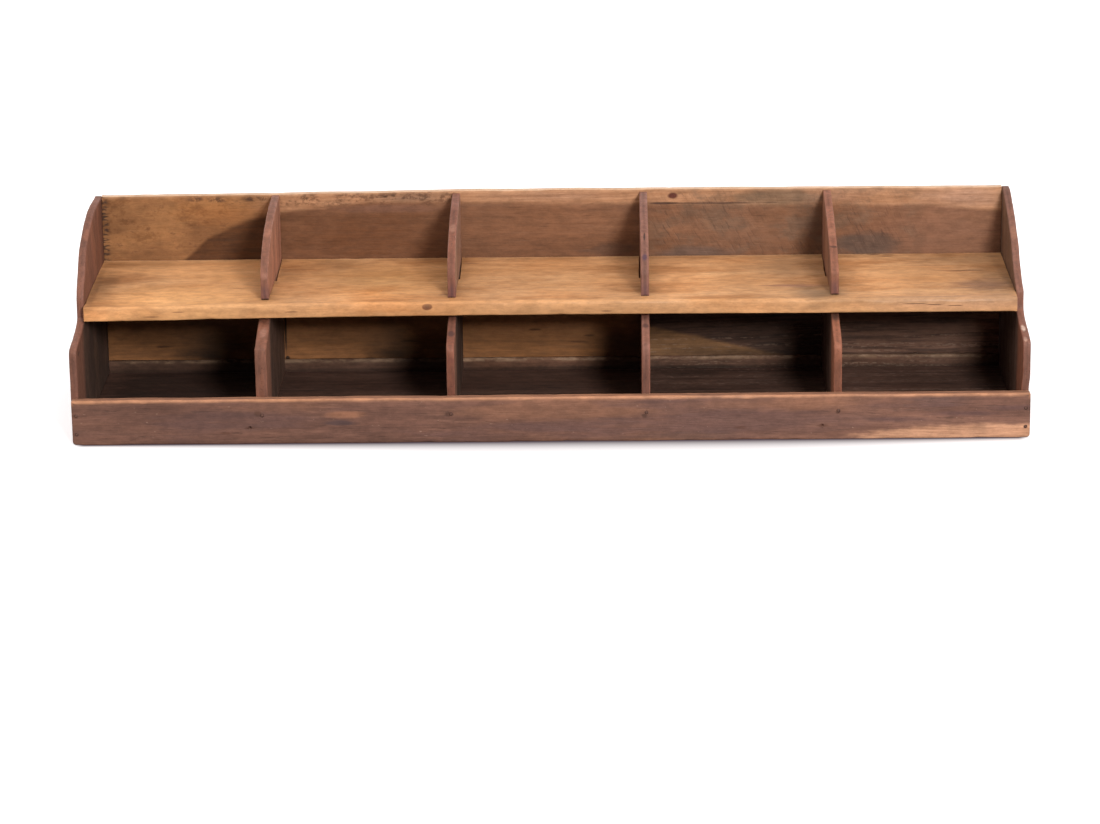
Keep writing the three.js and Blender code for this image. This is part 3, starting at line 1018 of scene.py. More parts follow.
def ahead_of(place, start, end):
    """1 in front of a start depth, and 0 behind an end depth."""
    return 1.0 - smooth_step(place.y, (start + FRONT) * MM, (end + FRONT) * MM)


def swell(height, begin, full, fade, end):
    """1 between two heights, and falling to 0 below and above them."""
    return smooth_step(height, begin, full) - smooth_step(height, fade, end)


def shelf_sag(place):
    """The shelf has settled a little at its left front corner and risen in the middle."""
    front = ahead_of(place, SHELF_FRONT, SHELF_FRONT + SAG_DEPTH)
    left = 1.0 - smooth_step(place.x, -0.49, -0.25)
    middle = math.exp(-((place.x - 0.02) / 0.2) ** 2)
    return Vector((0.0, 0.0, front * (SHELF_RISE * middle - SHELF_DROP * left) * MM))


def shelf_arris(u, v, side):
    """The usual radius of a worn edge at a place of the outline, on one side of the board."""
    if v > SHELF_FRONT + 3:
        return 0.7
    if side < 0:
        return 1.6
    return 3.4 + 1.8 * smooth_step(u, 150, 480)


def left_bulge(place):
    """The left end board stands out a little at its lower front, and bows out along its upper curve."""
    foot = swell(place.z, *LEFT_FOOT_HEIGHTS) * ahead_of(place, RAIL_BACK, RAIL_BACK + BOW_DEPTH)
    upper = smooth_step(place.z, 0.16, 0.183) * ahead_of(place, 205, 252)
    return Vector((-(LEFT_FOOT_BOW * foot + LEFT_TOP_BOW * upper) * MM, 0.0, 0.0))


def right_bulge(place):
    """The right end board stands out at its lower front, and is a little hollow above the shelf."""
    foot = swell(place.z, *RIGHT_FOOT_HEIGHTS) * ahead_of(place, RAIL_BACK, RAIL_BACK + BOW_DEPTH)
    waist = swell(place.z, *RIGHT_WAIST_HEIGHTS) * ahead_of(place, 110, 160)
    return Vector(((RIGHT_FOOT_BOW * foot - RIGHT_WAIST_BOW * waist) * MM, 0.0, 0.0))


def first_divider_foot(place):
    """The first divider is thicker and stands further left at its lower front."""
    front = ahead_of(place, SHELF_FRONT, SLOT_END - 10)
    low = 1.0 - smooth_step(place.z, SHELF_BOTTOM * MM, SHELF_TOP * MM)
    side = (place.x / MM - DIVIDER_CENTRES[0]) / (DIVIDER / 2)
    return Vector(((FIRST_DIVIDER_SWELL * side - FIRST_DIVIDER_SHIFT) * front * low * MM, 0.0, 0.0))


def upright_arris(u, v, side):
    return 1.6


def floor_arris(u, v, side):
    return 0.6


def rail_arris(u, v, side):
    return 1.5 if v > RAIL_HEIGHT - 3 else 1.3


def back_arris(u, v, side):
    return 1.5 if v > HEIGHT - 8 else 0.5


def slat_arris(u, v, side):
    return 2.2 if v > SLAT_HEIGHT - 3 and side < 0 else 0.5


def add_board(node, slot, wood, *board, holes=(), **wear):
    """Builds a board, cuts its nail holes and sets it in the frame."""
    piece = worn_board(*board, **wear)
    cut_holes(piece, node, holes)
    seat(piece, node, wood)


def make_boards(woods):
    sides = (
        ("left", -HALF_WIDTH, LEFT_SETBACK, LEFT_FULLNESS, LEFT_HEIGHT, 11, left_bulge),
        ("right", HALF_INNER, RIGHT_SETBACK, RIGHT_FULLNESS, HEIGHT, 12, right_bulge),
    )
    for name, left, setback, fullness, height, seed, shift in sides:
        add_board(
            f"{name}_side_panel", "end_board_wood", woods[f"{name}_end"],
            f"{name}_end_board", side_corners(setback, fullness, height), "yz", left, SIDE, upright_arris,
            seed, wander=0.7, dents=24, shift=shift,
        )
    for i, centre in enumerate(DIVIDER_CENTRES):
        node = f"divider_{i + 1}"
        corners = divider_corners(DIVIDER_FULLNESS[i], FIRST_STEP_RADIUS if i == 0 else STEP_RADIUS)
        add_board(
            node, "divider_wood", woods[node],
            f"divider_board_{i + 1}", corners, "yz", centre - DIVIDER / 2, DIVIDER, upright_arris, 21 + i,
            wander=0.6, dents=22, shift=first_divider_foot if i == 0 else None,
        )
    add_board(
        "mid_shelf", "shelf_wood", woods["shelf"],
        "shelf_board", shelf_corners(), "xy", SHELF_BOTTOM, SHELF_TOP - SHELF_BOTTOM, shelf_arris, 31,
        dents=26, shift=shelf_sag, holes=SHELF_OLD_HOLES,
    )
    back_foot = SLAT_HEIGHT + GAP
    add_board(
        "back_board_upper", "back_wood", woods["back"],
        "back_plank_upper", [(-INNER_END, back_foot), (INNER_END, back_foot), *BACK_TOP], "xz",
        BACK_FACE, DEPTH - BACK_FACE, back_arris, 41, wander=0.5, dents=18,
    )
    add_board(
        "back_board_lower", "slat_wood", woods["slat"],
        "back_plank_lower", rectangle(INNER_END, FOOT_LIFT, SLAT_HEIGHT), "xz",
        SLAT_FACE, DEPTH - SLAT_FACE, slat_arris, 42, wander=0.6,
    )
    add_board(
        "bottom_board", "floor_wood", woods["floor"],
        "floor_board", rectangle(INNER_END, RAIL_BACK, SLAT_FACE - GAP), "xy",
        FOOT_LIFT, FLOOR_TOP - FOOT_LIFT, floor_arris, 43,
    )
    rail_end = HALF_WIDTH + RAIL_OVERHANG
    add_board(
        "front_rail", "rail_wood", woods["rail"],
        "rail_board", rectangle(rail_end, FOOT_LIFT, RAIL_HEIGHT, 4.0, 2.0), "xz",
        0.0, RAIL_THICKNESS, rail_arris, 44, wander=0.5, dents=30, holes=RAIL_OLD_HOLES,
    )


# Woods

# Tones of the upright boards' faces and front edges, how much paler the worn arrises are, and how dark the
# front edges are low down. On the third divider the paler arris is also a painted highlight.
UPRIGHTS = (
    ("left_end", (119, 79, 63), (101, 68, 57), 1.2, 0.94),
    ("divider_1", (170, 118, 96), (105, 70, 57), 1.25, 0.71),
    ("divider_2", (149, 113, 95), (103, 64, 51), 1.3, 0.68),
    ("divider_3", (134, 93, 75), (106, 73, 63), 1.4, 0.5),
    ("divider_4", (136, 94, 73), (115, 74, 58), 1.3, 0.61),
    ("right_end", (104, 77, 60), (102, 70, 60), 1.25, 0.75),
)

# Marks on front edges: depth, height, half height, half width and colour. The right end board's last two
# are a painted highlight on its rounded front arris and a paler patch beside it.
EDGE_MARKS = {
    "left_end": ((150, 190, 8, 5, (128, 84, 66)), (30, 92, 3, 5, (70, 48, 42))),
    "divider_1": (
        (135, 194, 7, 5, (139, 91, 71)), (84, 160, 5, 5, (136, 92, 75)), (45, 109, 6, 5, (138, 98, 83)),
    ),
    "divider_2": (
        (141, 196, 5, 5, (138, 97, 80)), (40, 107, 3, 5, (70, 46, 42)), (11.5, 86, 5, 5, (104, 60, 48)),
    ),
    "divider_3": (
        (127, 188, 5, 1.5, (36, 23, 20)), (94, 174, 4, 4, (70, 50, 62)), (54, 110, 2.2, 5, (66, 44, 40)),
    ),
    "divider_4": (
        (115, 178, 1.2, 6, (66, 42, 34)), (140, 187, 6, 5, (139, 92, 71)), (68, 114, 5, 5, (82, 58, 50)),
    ),
    "right_end": (
        (160, 180, 8, 5, (130, 89, 70)), (43, 106.5, 3, 3, (190, 162, 147)),
        (20, 101.5, 2, 3, (160, 124, 109)),
    ),
}

# Where the pale outer wood of the back board begins, and where a lighter wedge ends behind a lower bay, as
# width and height from left to right. The wedge and the darker wood above it are partly painted light and
# shade.
SAPWOOD_LINE = (
    (-492, 40), (-427, 112), (-401, 138), (-374, 162), (-340, 177), (-310, 185), (-206, 197.4), (-110, 197.6),
    (92, 194.5), (294, 191.4), (400, 190), (492, 184),
)
WEDGE_LINE = ((100, 56), (165, 42), (201, 33), (234, 24), (300, 12))

# Dark streaks on top of the shelf: width, depth from the front and half sizes.
SHELF_STREAKS = (
    (-140, 232, 14, 1.6), (-88, 226, 16, 2.6), (-46, 118, 9, 2.2), (-158, 98, 8, 2.0), (-112, 92, 8, 2.6),
    (-276, 205, 30, 2.4), (-345, 202, 26, 1.8), (-330, 130, 18, 1.6), (244, 120, 30, 2.4),
    (410, 200, 36, 2.4), (446, 176, 40, 4.5), (300, 150, 24, 1.8),
)

# Stains along the top of the back board: width, height and half sizes.
BACK_STAINS = (
    (-365, 203, 15, 6), (-389, 203.5, 13, 5), (-268, 203, 12, 5), (-176, 204, 12, 6), (-322, 204, 22, 5),
)

# Broad lighter and darker areas of a face: place, radii and what its colour is multiplied by. On the shelf
# and the back they are partly painted shade and light: shadows that the end boards and dividers cast, and
# lighter ground where more light falls.
SHELF_TOP_SHADES = (
    ((-482, 150), (28, 90), 0.6),
    ((-440, 230), (60, 28), 0.8),
    ((-428, 85), (56, 38), 1.24),
    ((-282, 190), (28, 80), 0.84),
    ((-235, 225), (54, 36), 0.7),
    ((-200, 88), (66, 48), 1.36),
    ((145, 130), (64, 120), 1.4),
    ((258, 200), (66, 84), (0.64, 0.66, 0.7)),
    ((280, 88), (44, 50), (0.52, 0.57, 0.64)),
    ((350, 130), (54, 84), 1.34),
    ((440, 224), (80, 44), (0.64, 0.69, 0.75)),
    ((476, 140), (56, 140), (0.66, 0.7, 0.76)),
    ((-390, 200), (56, 60), 1.14),
    ((-165, 150), (110, 120), (1.05, 1.0, 0.86)),
    ((0, 85), (66, 38), 1.2),
    ((332, 215), (34, 44), 1.22),
)
SHELF_FRONT_SHADES = (
    ((-474, 124), (44, 12), 1.6),
    ((-345, 127), (76, 14), 0.82),
    ((-172, 130), (50, 10), 1.36),
    ((50, 124), (170, 13), 0.78),
    ((225, 122), (56, 8), 1.2),
)
SHELF_ARRIS_SHADES = (
    ((105, 132), (70, 8), (0.8, 0.83, 0.88)),
    ((385, 133), (170, 7), (0.58, 0.62, 0.68)),
)
BACK_SHADES = (
    ((-362, 188), (64, 22), (1.34, 1.26, 1.1)),
    ((-430, 203), (110, 8), 1.3),
    ((-156, 203), (62, 9), (0.68, 0.72, 0.8)),
    ((0, 203), (110, 9), (0.92, 0.96, 1.06)),
    ((150, 203), (50, 7), 1.16),
    ((310, 200), (60, 14), (0.94, 0.97, 1.08)),
    ((452, 198), (66, 18), (1.05, 1.15, 1.4)),
    # From here on painted shadows of the dividers on the back behind the lower bays, darkest just above the
    # slat; the last row lightens the dark corner at the right end as painted light.
    ((-374, 32), (56, 64), 0.42),
    ((-388, 25), (46, 13), 0.4),
    ((-174, 32), (46, 64), 0.5),
    ((-184, 25), (44, 13), 0.45),
    ((238, 40), (40, 30), 0.7),
    ((190, 24), (120, 8), 0.5),
    ((484, 60), (34, 60), 2.2),
)
RAIL_SHADES = (
    ((-440, 42), (100, 10), 0.82),
    ((-272, 7), (46, 10), 0.78),
    ((150, 6), (76, 9), (0.74, 0.8, 0.88)),
    ((485, 8), (40, 14), 1.15),
    ((-395, 42), (66, 10), 0.84),
    ((22, 25), (46, 8), 0.82),
    ((408, 43), (56, 9), (0.8, 0.86, 0.94)),
)
FLOOR_SHADES = (
    ((150, 235), (70, 30), 0.6),
    ((320, 150), (80, 130), 1.4),
)


def shaded(colour, share):
    return tuple(part * share for part in colour)


def wood_centre(name):
    """The middle of an upright board's thickness."""
    if name.startswith("divider"):
        return DIVIDER_CENTRES[int(name[-1]) - 1]
    return (HALF_WIDTH - SIDE / 2) * (-1 if name.startswith("left") else 1)


def upright_wood(index, name, mid, edge, pale, low_share):
    tones = (tone(*shaded(mid, 0.78)), tone(*mid), tone(*shaded(mid, 1.16)))
    wood = Wood(
        f"{name}_wood", "Z", "X", 2.0 + index * 1.37, tones, pith=(30 + 9 * index, 55 + 14 * index),
        ring_gap=6.0, ring=0.2, streak=0.45, fleck=0.4,
    )
    wood.patches(tone(*shaded(mid, 0.84)), 0.5, 6.0, 20.0)
    inner = wood.inside(3, x=(3 - HALF_WIDTH, HALF_WIDTH - 3))
    # In front of the shelf the inner faces below it get a redder tone; on the boards whose inner faces look
    # left it is lighter, as painted light.
    strip = wood.times(inner, wood.inside(10, z=(None, SHELF_BOTTOM)))
    wood.blend(strip, tone(144, 87, 65) if index > 2 else tone(110, 74, 60), 0.7)
    # Under the shelf the inner faces are painted dark: grime, and the painted shade under the shelf.
    lower = wood.inside(20, y=(SHELF_FRONT, None), z=(None, SHELF_BOTTOM))
    lower = wood.times(inner, lower)
    wood.blend(lower, wood.mix(wood.remap(wood.cloud, 0.4, 0.6), tone(80, 63, 54), tone(58, 47, 41)), 0.85)
    if name == "right_end":
        wood.darken(wood.math("SUBTRACT", 1.0, inner), (1.32, 1.06, 1.1))
    wood.edge_faces(tone(*edge), 0.92)
    foot = wood.inside(12, y=(None, DIVIDER_SETBACK + 8), z=(SHELF_TOP - 2, SHELF_TOP + 14))
    if name.startswith("divider"):
        wood.blend(foot, tone(70, 48, 52), 0.7)
    # Paler worn arrises; on the third divider this paler edge is also a painted highlight.
    wood.worn(tone(*shaded(edge, pale)), 0.5)
    low_edge = wood.times(wood.narrow, wood.inside(30, z=(None, 84)))
    wood.darken(low_edge, low_share)
    wood.mark_on("X", wood_centre(name), 7)
    for depth, height, tall, wide, colour in EDGE_MARKS[name]:
        wood.spot((depth, height), (6.0 + 2 * tall, tall), colour, 0.85, ragged=0.6, reach=wide)
    if name.startswith("divider"):
        wood.spot((78, 135.5), (6, 2.0), (40, 26, 25), 0.85, ragged=0.5)
    return wood


def make_woods():
    woods = {}
    for i, upright in enumerate(UPRIGHTS):
        name = upright[0]
        wood = upright_wood(i, *upright)
        woods[name] = wood.shade(rough=0.62)
    woods["shelf"] = shelf_wood()
    woods["back"] = back_wood()
    woods["slat"] = slat_wood()
    woods["floor"] = floor_wood()
    woods["rail"] = rail_wood()
    return woods


def shelf_wood():
    tones = (tone(174, 124, 82), tone(184, 135, 93), tone(196, 149, 107))
    wood = Wood(
        "shelf_wood", "X", "Z", 1.0, tones, pith=(40, -50), ring_gap=9.0, ring=0.08, streak=0.26, fleck=0.36,
        mottle=0.15, cloud=0.18,
    )
    wood.patches(tone(184, 127, 79), 0.55, 5.0, 9.0)
    wood.patches(tone(168, 114, 70), 0.5, 8.0, 13.0, 0.52, 0.68)
    wood.darken(wood.remap(wood.cloud, 0.44, 0.66), (0.76, 0.68, 0.6))
    wood.darken(wood.remap(wood.cloud, 0.42, 0.3), (1.12, 1.12, 1.1))
    shelf_top_marks(wood)
    shelf_front_marks(wood)
    # Broad areas of the shelf, partly painted shade of the end boards and dividers, and painted light.
    wood.shades(SHELF_TOP_SHADES, "Z", SHELF_TOP, 20)
    wood.shades(SHELF_FRONT_SHADES, "Y", SHELF_FRONT, 9)
    wood.shades(SHELF_ARRIS_SHADES, "Y", SHELF_FRONT + 1, 8)
    shelf_dirt_and_shade(wood)
    wood.worn(tone(196, 146, 98), 0.25)
    return wood.shade(rough=0.55, bump=0.2, specular=0.22)


def shelf_top_marks(wood):
    """Stains and streaks on top of the shelf, as width and depth from the front."""
    wood.mark_on("Z", SHELF_TOP, 8)
    wood.spot((-385, 95), (130, 70), (214, 159, 106), 0.7, soft=0.9, reach=60)
    wood.shadowed((-195, 170), (110, 80), 0.78, soft=0.9, reach=40)
    wood.spot((-460, 172), (40, 30), (134, 88, 54), 0.65, ragged=1.5, reach=12)
    wood.spot((-474, 232), (26, 14), (146, 102, 66), 0.55, ragged=1.4, reach=12)
    wood.spot((-488, 130), (7, 120), (140, 96, 62), 0.7, reach=12)
    for x, depth, wide, deep in SHELF_STREAKS:
        wood.spot((x, depth), (wide, deep), (92, 56, 38), 0.6, soft=0.8, ragged=1.0)
    wood.spot((262, 118), (48, 12), (130, 90, 74), 0.6, soft=0.9)
    for x, depth, wide in ((352, 248, 10), (368, 247, 8), (366, 241, 8)):
        wood.spot((x, depth), (wide, 1.8), (60, 36, 26), 0.9, soft=0.5, ragged=0.6)
    wood.spot((462, 114), (46, 36), (124, 84, 62), 0.7, soft=0.8, ragged=1.2, reach=12)


def shelf_front_marks(wood):
    """Paler stretches, a knot, cracks and streaks on the shelf's front edge, as width and height."""
    wood.mark_on("Y", SHELF_FRONT, 9)
    wood.spot((0, 127), (200, 12), (190, 144, 102), 0.45, soft=0.8, reach=10)
    wood.spot((430, 129), (130, 20), (178, 133, 101), 0.65, soft=0.8, reach=24)
    wood.spot((-128.9, 130.2), (6.5, 4), (96, 54, 34), 1.0, soft=0.3, ragged=0.35)
    wood.spot((-128.9, 130.2), (3.6, 2.4), (70, 38, 26), 0.8, soft=0.5, ragged=0.3)
    for x, z, wide in ((384, 129, 16), (404, 127.8, 12), (426, 126.8, 10)):
        wood.spot((x, z), (wide, 0.7), (66, 40, 29), 0.85, soft=0.5, ragged=0.8)
    for x, z, wide in ((-392, 127, 9), (-420, 122, 12), (-272, 126, 10), (60, 124, 8)):
        wood.spot((x, z), (wide, 0.9), (92, 58, 38), 0.75, ragged=1.2)


def shelf_dirt_and_shade(wood):
    """Patchy darkening along the back of the shelf and beside the dividers: dirt, and painted shade where the
    parts meet.
    """
    dirt_and_shade = wood.noise(wood.moved, 55.0, detail=4.0, roughness=0.65)
    dirt_and_shade = wood.remap(dirt_and_shade, 0.38, 0.62, 0.3, 1.0)
    rear = wood.inside(24, y=(238, None))
    wood.darken(wood.times(rear, dirt_and_shade), 0.82)
    for centre in DIVIDER_CENTRES:
        beside = wood.inside(18, x=(centre - 12, centre + 12), y=(78, None))
        wood.darken(wood.times(beside, dirt_and_shade), 0.76)


def back_wood():
    tones = (tone(94, 62, 42), tone(112, 75, 52), tone(128, 89, 64))
    wood = Wood(
        "back_wood", "X", "Y", 5.0, tones, pith=(60, 90), ring_gap=7.0, ring=0.12, streak=0.24, fleck=0.32,
        mottle=0.14, cloud=0.24,
    )
    wood.patches(tone(104, 72, 53), 0.5, 6.0, 16.0)
    plain = plain_rear(wood)
    back_heartwood(wood)
    wood.mark_on("Y", BACK_FACE, 20)
    back_sapwood(wood)
    back_lower_left(wood)
    back_lower_right(wood)
    back_saw_marks(wood)
    back_top_marks(wood)
    # Broad areas, among them the painted shadows of the dividers behind the lower bays.
    wood.shades(BACK_SHADES, "Y", BACK_FACE, 20)
    wood.blend(wood.inside(3, y=(BACK_FACE + 4, None)), plain)
    top = wood.remap(wood.normal(2), 0.5, 0.85)
    wood.blend(top, tone(208, 176, 150), 0.85)
    wood.worn(tone(176, 134, 102), 0.35, above=204)
    return wood.shade(rough=0.66, bump=0.3)


def plain_rear(wood):
    """The colour of the back board's rear, which is plain old wood."""
    rear = wood.streaks(wood.bent, 1.6, 17.0, detail=4.0, roughness=0.6)
    plain = wood.mix(wood.remap(rear, 0.48, 0.64, 0.0, 0.75), wood.colour, tone(146, 103, 72))
    return wood.mix(wood.remap(rear, 0.44, 0.3, 0.0, 0.7), plain, tone(78, 51, 36))


def back_heartwood(wood):
    """Heartwood behind the upper bays, darkest at the left."""
    wood.mark_on("Y", BACK_FACE - 3, 30)
    wood.spot((-200, 160), (130, 60), (84, 49, 25), 0.7, soft=0.9)
    wood.spot((420, 160), (150, 60), (122, 87, 69), 0.55, soft=0.9)
    wood.spot((200, 165), (120, 50), (112, 81, 62), 0.55, soft=0.9)
    heart = wood.inside(30, x=(None, -300), z=(120, None))
    wood.blend(heart, wood.two_tones(0.4, 0.62, (75, 44, 21), (62, 36, 16)), 0.92)


def back_sapwood(wood):
    """The pale outer wood along the top, which is older and blotched in the first bay."""
    wood.spot((-175, 191), (90, 7), (110, 78, 65), 0.5, soft=0.8)
    pale = wood.above_line(SAPWOOD_LINE, 3.5, 11.0)
    grain = wood.two_tones(0.4, 0.64, (168, 124, 92), (146, 104, 74))
    aged = wood.mix(wood.remap(wood.cloud, 0.36, 0.6), tone(142, 99, 62), tone(118, 80, 50))
    aged = wood.mix(wood.remap(wood.fine, 0.54, 0.68, 0.0, 0.6), aged, tone(80, 53, 35))
    old = wood.inside(60, x=(None, -310))
    wood.blend(pale, wood.mix(old, grain, aged), 0.94)
    blots = wood.streaks(wood.moved, 46.0, 64.0, detail=6.0, roughness=0.74)
    bay = wood.inside(60, x=(None, -350), z=(140, None))
    wood.darken(wood.times(wood.remap(blots, 0.5, 0.62), bay), (0.76, 0.71, 0.66))
    wood.darken(wood.times(wood.remap(blots, 0.46, 0.36), bay), (1.12, 1.12, 1.12))
    wood.blend(wood.times(wood.remap(blots, 0.62, 0.7), bay), tone(84, 56, 38), 0.5)


def back_lower_left(wood):
    """Warm wood behind the first three lower bays, a split, short dark streaks, and painted light under the
    shelf.
    """
    lower = wood.inside(30, x=(None, 60), z=(None, 118))
    wood.blend(lower, wood.two_tones(0.36, 0.66, (132, 87, 50), (112, 74, 43)), 0.85)
    # Painted light: the upper part of the back under the shelf is made paler, as if lit.
    under = wood.inside(20, x=(None, 90), z=(48, 119))
    wood.blend(under, tone(172, 118, 76), 0.75)
    wood.spot((-294.8, 66), (1.5, 48), (34, 22, 17), 0.9, soft=0.4, ragged=0.3)
    wood.spot((-293.5, 22), (3.0, 3.0), (26, 18, 15), 0.9, soft=0.4, ragged=0.3)
    for x, z, wide in ((-160, 40, 14), (30, 38, 16), (40, 45, 8), (-20, 52, 10), (-430, 36, 12)):
        wood.spot((x, z), (wide, 1.6), (72, 44, 26), 0.7, ragged=1.2)
    wood.shadowed((-400, 70), (110, 70), 0.63, soft=0.5)
    wood.shadowed((-200, 70), (90, 70), 0.77, soft=0.5)


def back_lower_right(wood):
    """Grey wood behind the last two lower bays with rows of scratches; behind the fourth a lighter wedge
    under darker wood, partly painted light and the painted shade of the shelf.
    """
    grey = wood.inside(24, x=(104, None), z=(None, 118))
    wood.blend(grey, wood.two_tones(0.42, 0.6, (98, 71, 58), (62, 44, 36)), 0.9)
    dark_above = wood.above_line(WEDGE_LINE, 3.0, 12.0)
    light_below = wood.math("SUBTRACT", 1.0, dark_above)
    wedge = wood.times(wood.inside(16, x=(98, 270), z=(20, None)), light_below)
    wood.blend(wedge, wood.two_tones(0.38, 0.64, (126, 91, 59), (102, 73, 49)), 0.9)
    # Painted shade in part: above the wedge's line the wood is darkened like the shelf's shadow.
    deep = wood.times(wood.inside(16, x=(98, 296), z=(20, 118)), dark_above)
    wood.darken(deep, 0.64)
    wood.blend(wood.scuffs(x=(104, None), z=(None, 52)), tone(146, 120, 103), 0.32)


def back_saw_marks(wood):
    """Greyed wood with saw marks behind the last two upper bays, and the painted shadow of the last divider.
    """
    greys = wood.streaks(wood.moved, 16.0, 26.0, detail=5.0, roughness=0.7)
    saw = wood.inside(40, x=(104, 400), z=(126, None))
    wood.blend(wood.times(saw, wood.remap(greys, 0.46, 0.62)), tone(98, 78, 63), 0.55)
    wood.spot((342, 145), (50, 20), (74, 60, 52), 0.75)
    wood.spot((160, 138), (60, 9), (88, 70, 62), 0.6)
    wood.spot((245, 200), (60, 14), (104, 84, 66), 0.7)
    patchy = wood.noise(wood.moved, 17.0, detail=2.0)
    saw = wood.times(saw, wood.remap(patchy, 0.36, 0.6, 0.25, 1.0))
    wood.saw_lines(saw, 27, tone(66, 48, 40), 0.4)
    # A painted shadow that the last divider casts on the back beside it.
    wood.shadowed((284, 170), (26, 60), 0.72, soft=0.9)
    wood.shadowed((200, 203), (96, 10), 0.82, soft=0.6)


def back_top_marks(wood):
    """Crumbly stains along the top, a knot, cracks, and the ticks of a tool at the left end."""
    crumbs = wood.streaks(wood.moved, 85.0, 130.0, detail=6.0, roughness=0.78)
    bay = wood.inside(12, x=(-300, -104), z=(194, None))
    wood.blend(wood.times(wood.remap(crumbs, 0.47, 0.6), bay), tone(84, 54, 38), 0.75)
    for x, z, wide, tall in BACK_STAINS:
        blot = wood.remap(wood.distance((x, z), (wide, tall), 0.8), 1.0, 0.3)
        wood.blend(wood.times(blot, wood.remap(crumbs, 0.42, 0.55)), tone(70, 46, 32), 0.9)
    wood.spot((133, 202.5), (7, 4.5), (80, 42, 32), 1.0, soft=0.5, ragged=0.5)
    wood.spot((180, 193.5), (80, 1.5), (66, 45, 36), 0.7, ragged=1.8)
    wood.spot((124, 194), (22, 1.8), (56, 38, 31), 0.85, ragged=1.4)
    wood.spot((66, 143), (36, 9), (80, 58, 46), 0.6, ragged=1.4)
    ticks = wood.noise(wood.vector("MULTIPLY", wood.moved, (90.0, 20.0, 420.0)), detail=2.0)
    corner = wood.inside(5, x=(None, -485), z=(132, None))
    wood.blend(wood.times(corner, wood.remap(ticks, 0.45, 0.58)), tone(54, 38, 30), 0.9)


def slat_wood():
    tones = (tone(60, 42, 33), tone(82, 57, 45), tone(98, 72, 58))
    wood = Wood("slat_wood", "X", "Y", 6.0, tones, pith=(60, 90), streak=0.5, fleck=0.5, mottle=0.2)
    wood.mark_on("Y", SLAT_FACE, 9)
    wood.shadowed((-400, 10), (110, 40), 0.7, soft=0.4)
    # The slat's top arris is paler: dust, and a painted highlight where the ledge catches the light; paler
    # still behind the middle bay.
    dust_and_highlight = wood.streaks(wood.moved, 40.0, 90.0, detail=5.0, roughness=0.7)
    ledge = wood.times(wood.near, wood.remap(dust_and_highlight, 0.4, 0.62, 0.1, 1.0))
    ledge = wood.times(ledge, wood.remap(wood.parts[2], 0.014, 0.0185))
    wood.blend(ledge, tone(124, 99, 79), 0.75)
    wood.shadowed((120, 18), (260, 12), 1.22, soft=0.5)
    wood.shadowed((-8, 14), (110, 16), (1.22, 1.14, 1.05), soft=0.6)
    wood.shadowed((330, 14), (90, 16), 1.08, soft=0.6)
    dust_and_highlight_middle = wood.times(ledge, wood.inside(40, x=(-90, 80)))
    wood.blend(dust_and_highlight_middle, tone(142, 118, 98), 0.6)
    wood.blend(wood.scuffs(x=(104, None), z=(None, 30)), tone(146, 122, 104), 0.34)
    foot = wood.inside(3, y=(None, SLAT_FACE + 3), z=(None, FLOOR_TOP + 3))
    wood.darken(foot, 0.5)
    return wood.shade(rough=0.8)


def floor_wood():
    tones = (tone(64, 44, 37), tone(80, 56, 46), tone(96, 71, 60))
    wood = Wood("floor_wood", "X", "Z", 7.0, tones, pith=(60, 90), streak=0.45, mottle=0.2)
    wood.mark_on("Z", FLOOR_TOP, 20)
    wood.shadowed((-400, 190), (100, 120), 0.55, soft=0.4)
    wood.shades(FLOOR_SHADES, "Z", FLOOR_TOP, 20)
    wood.blend(wood.scuffs(x=(104, None), y=(60, None)), tone(128, 104, 92), 0.5)
    lines = wood.streaks(wood.bent, 7.0, 210.0, detail=4.0, roughness=0.6)
    wood.blend(wood.remap(lines, 0.54, 0.64), tone(40, 27, 23), 0.6)
    return wood.shade(rough=0.8)


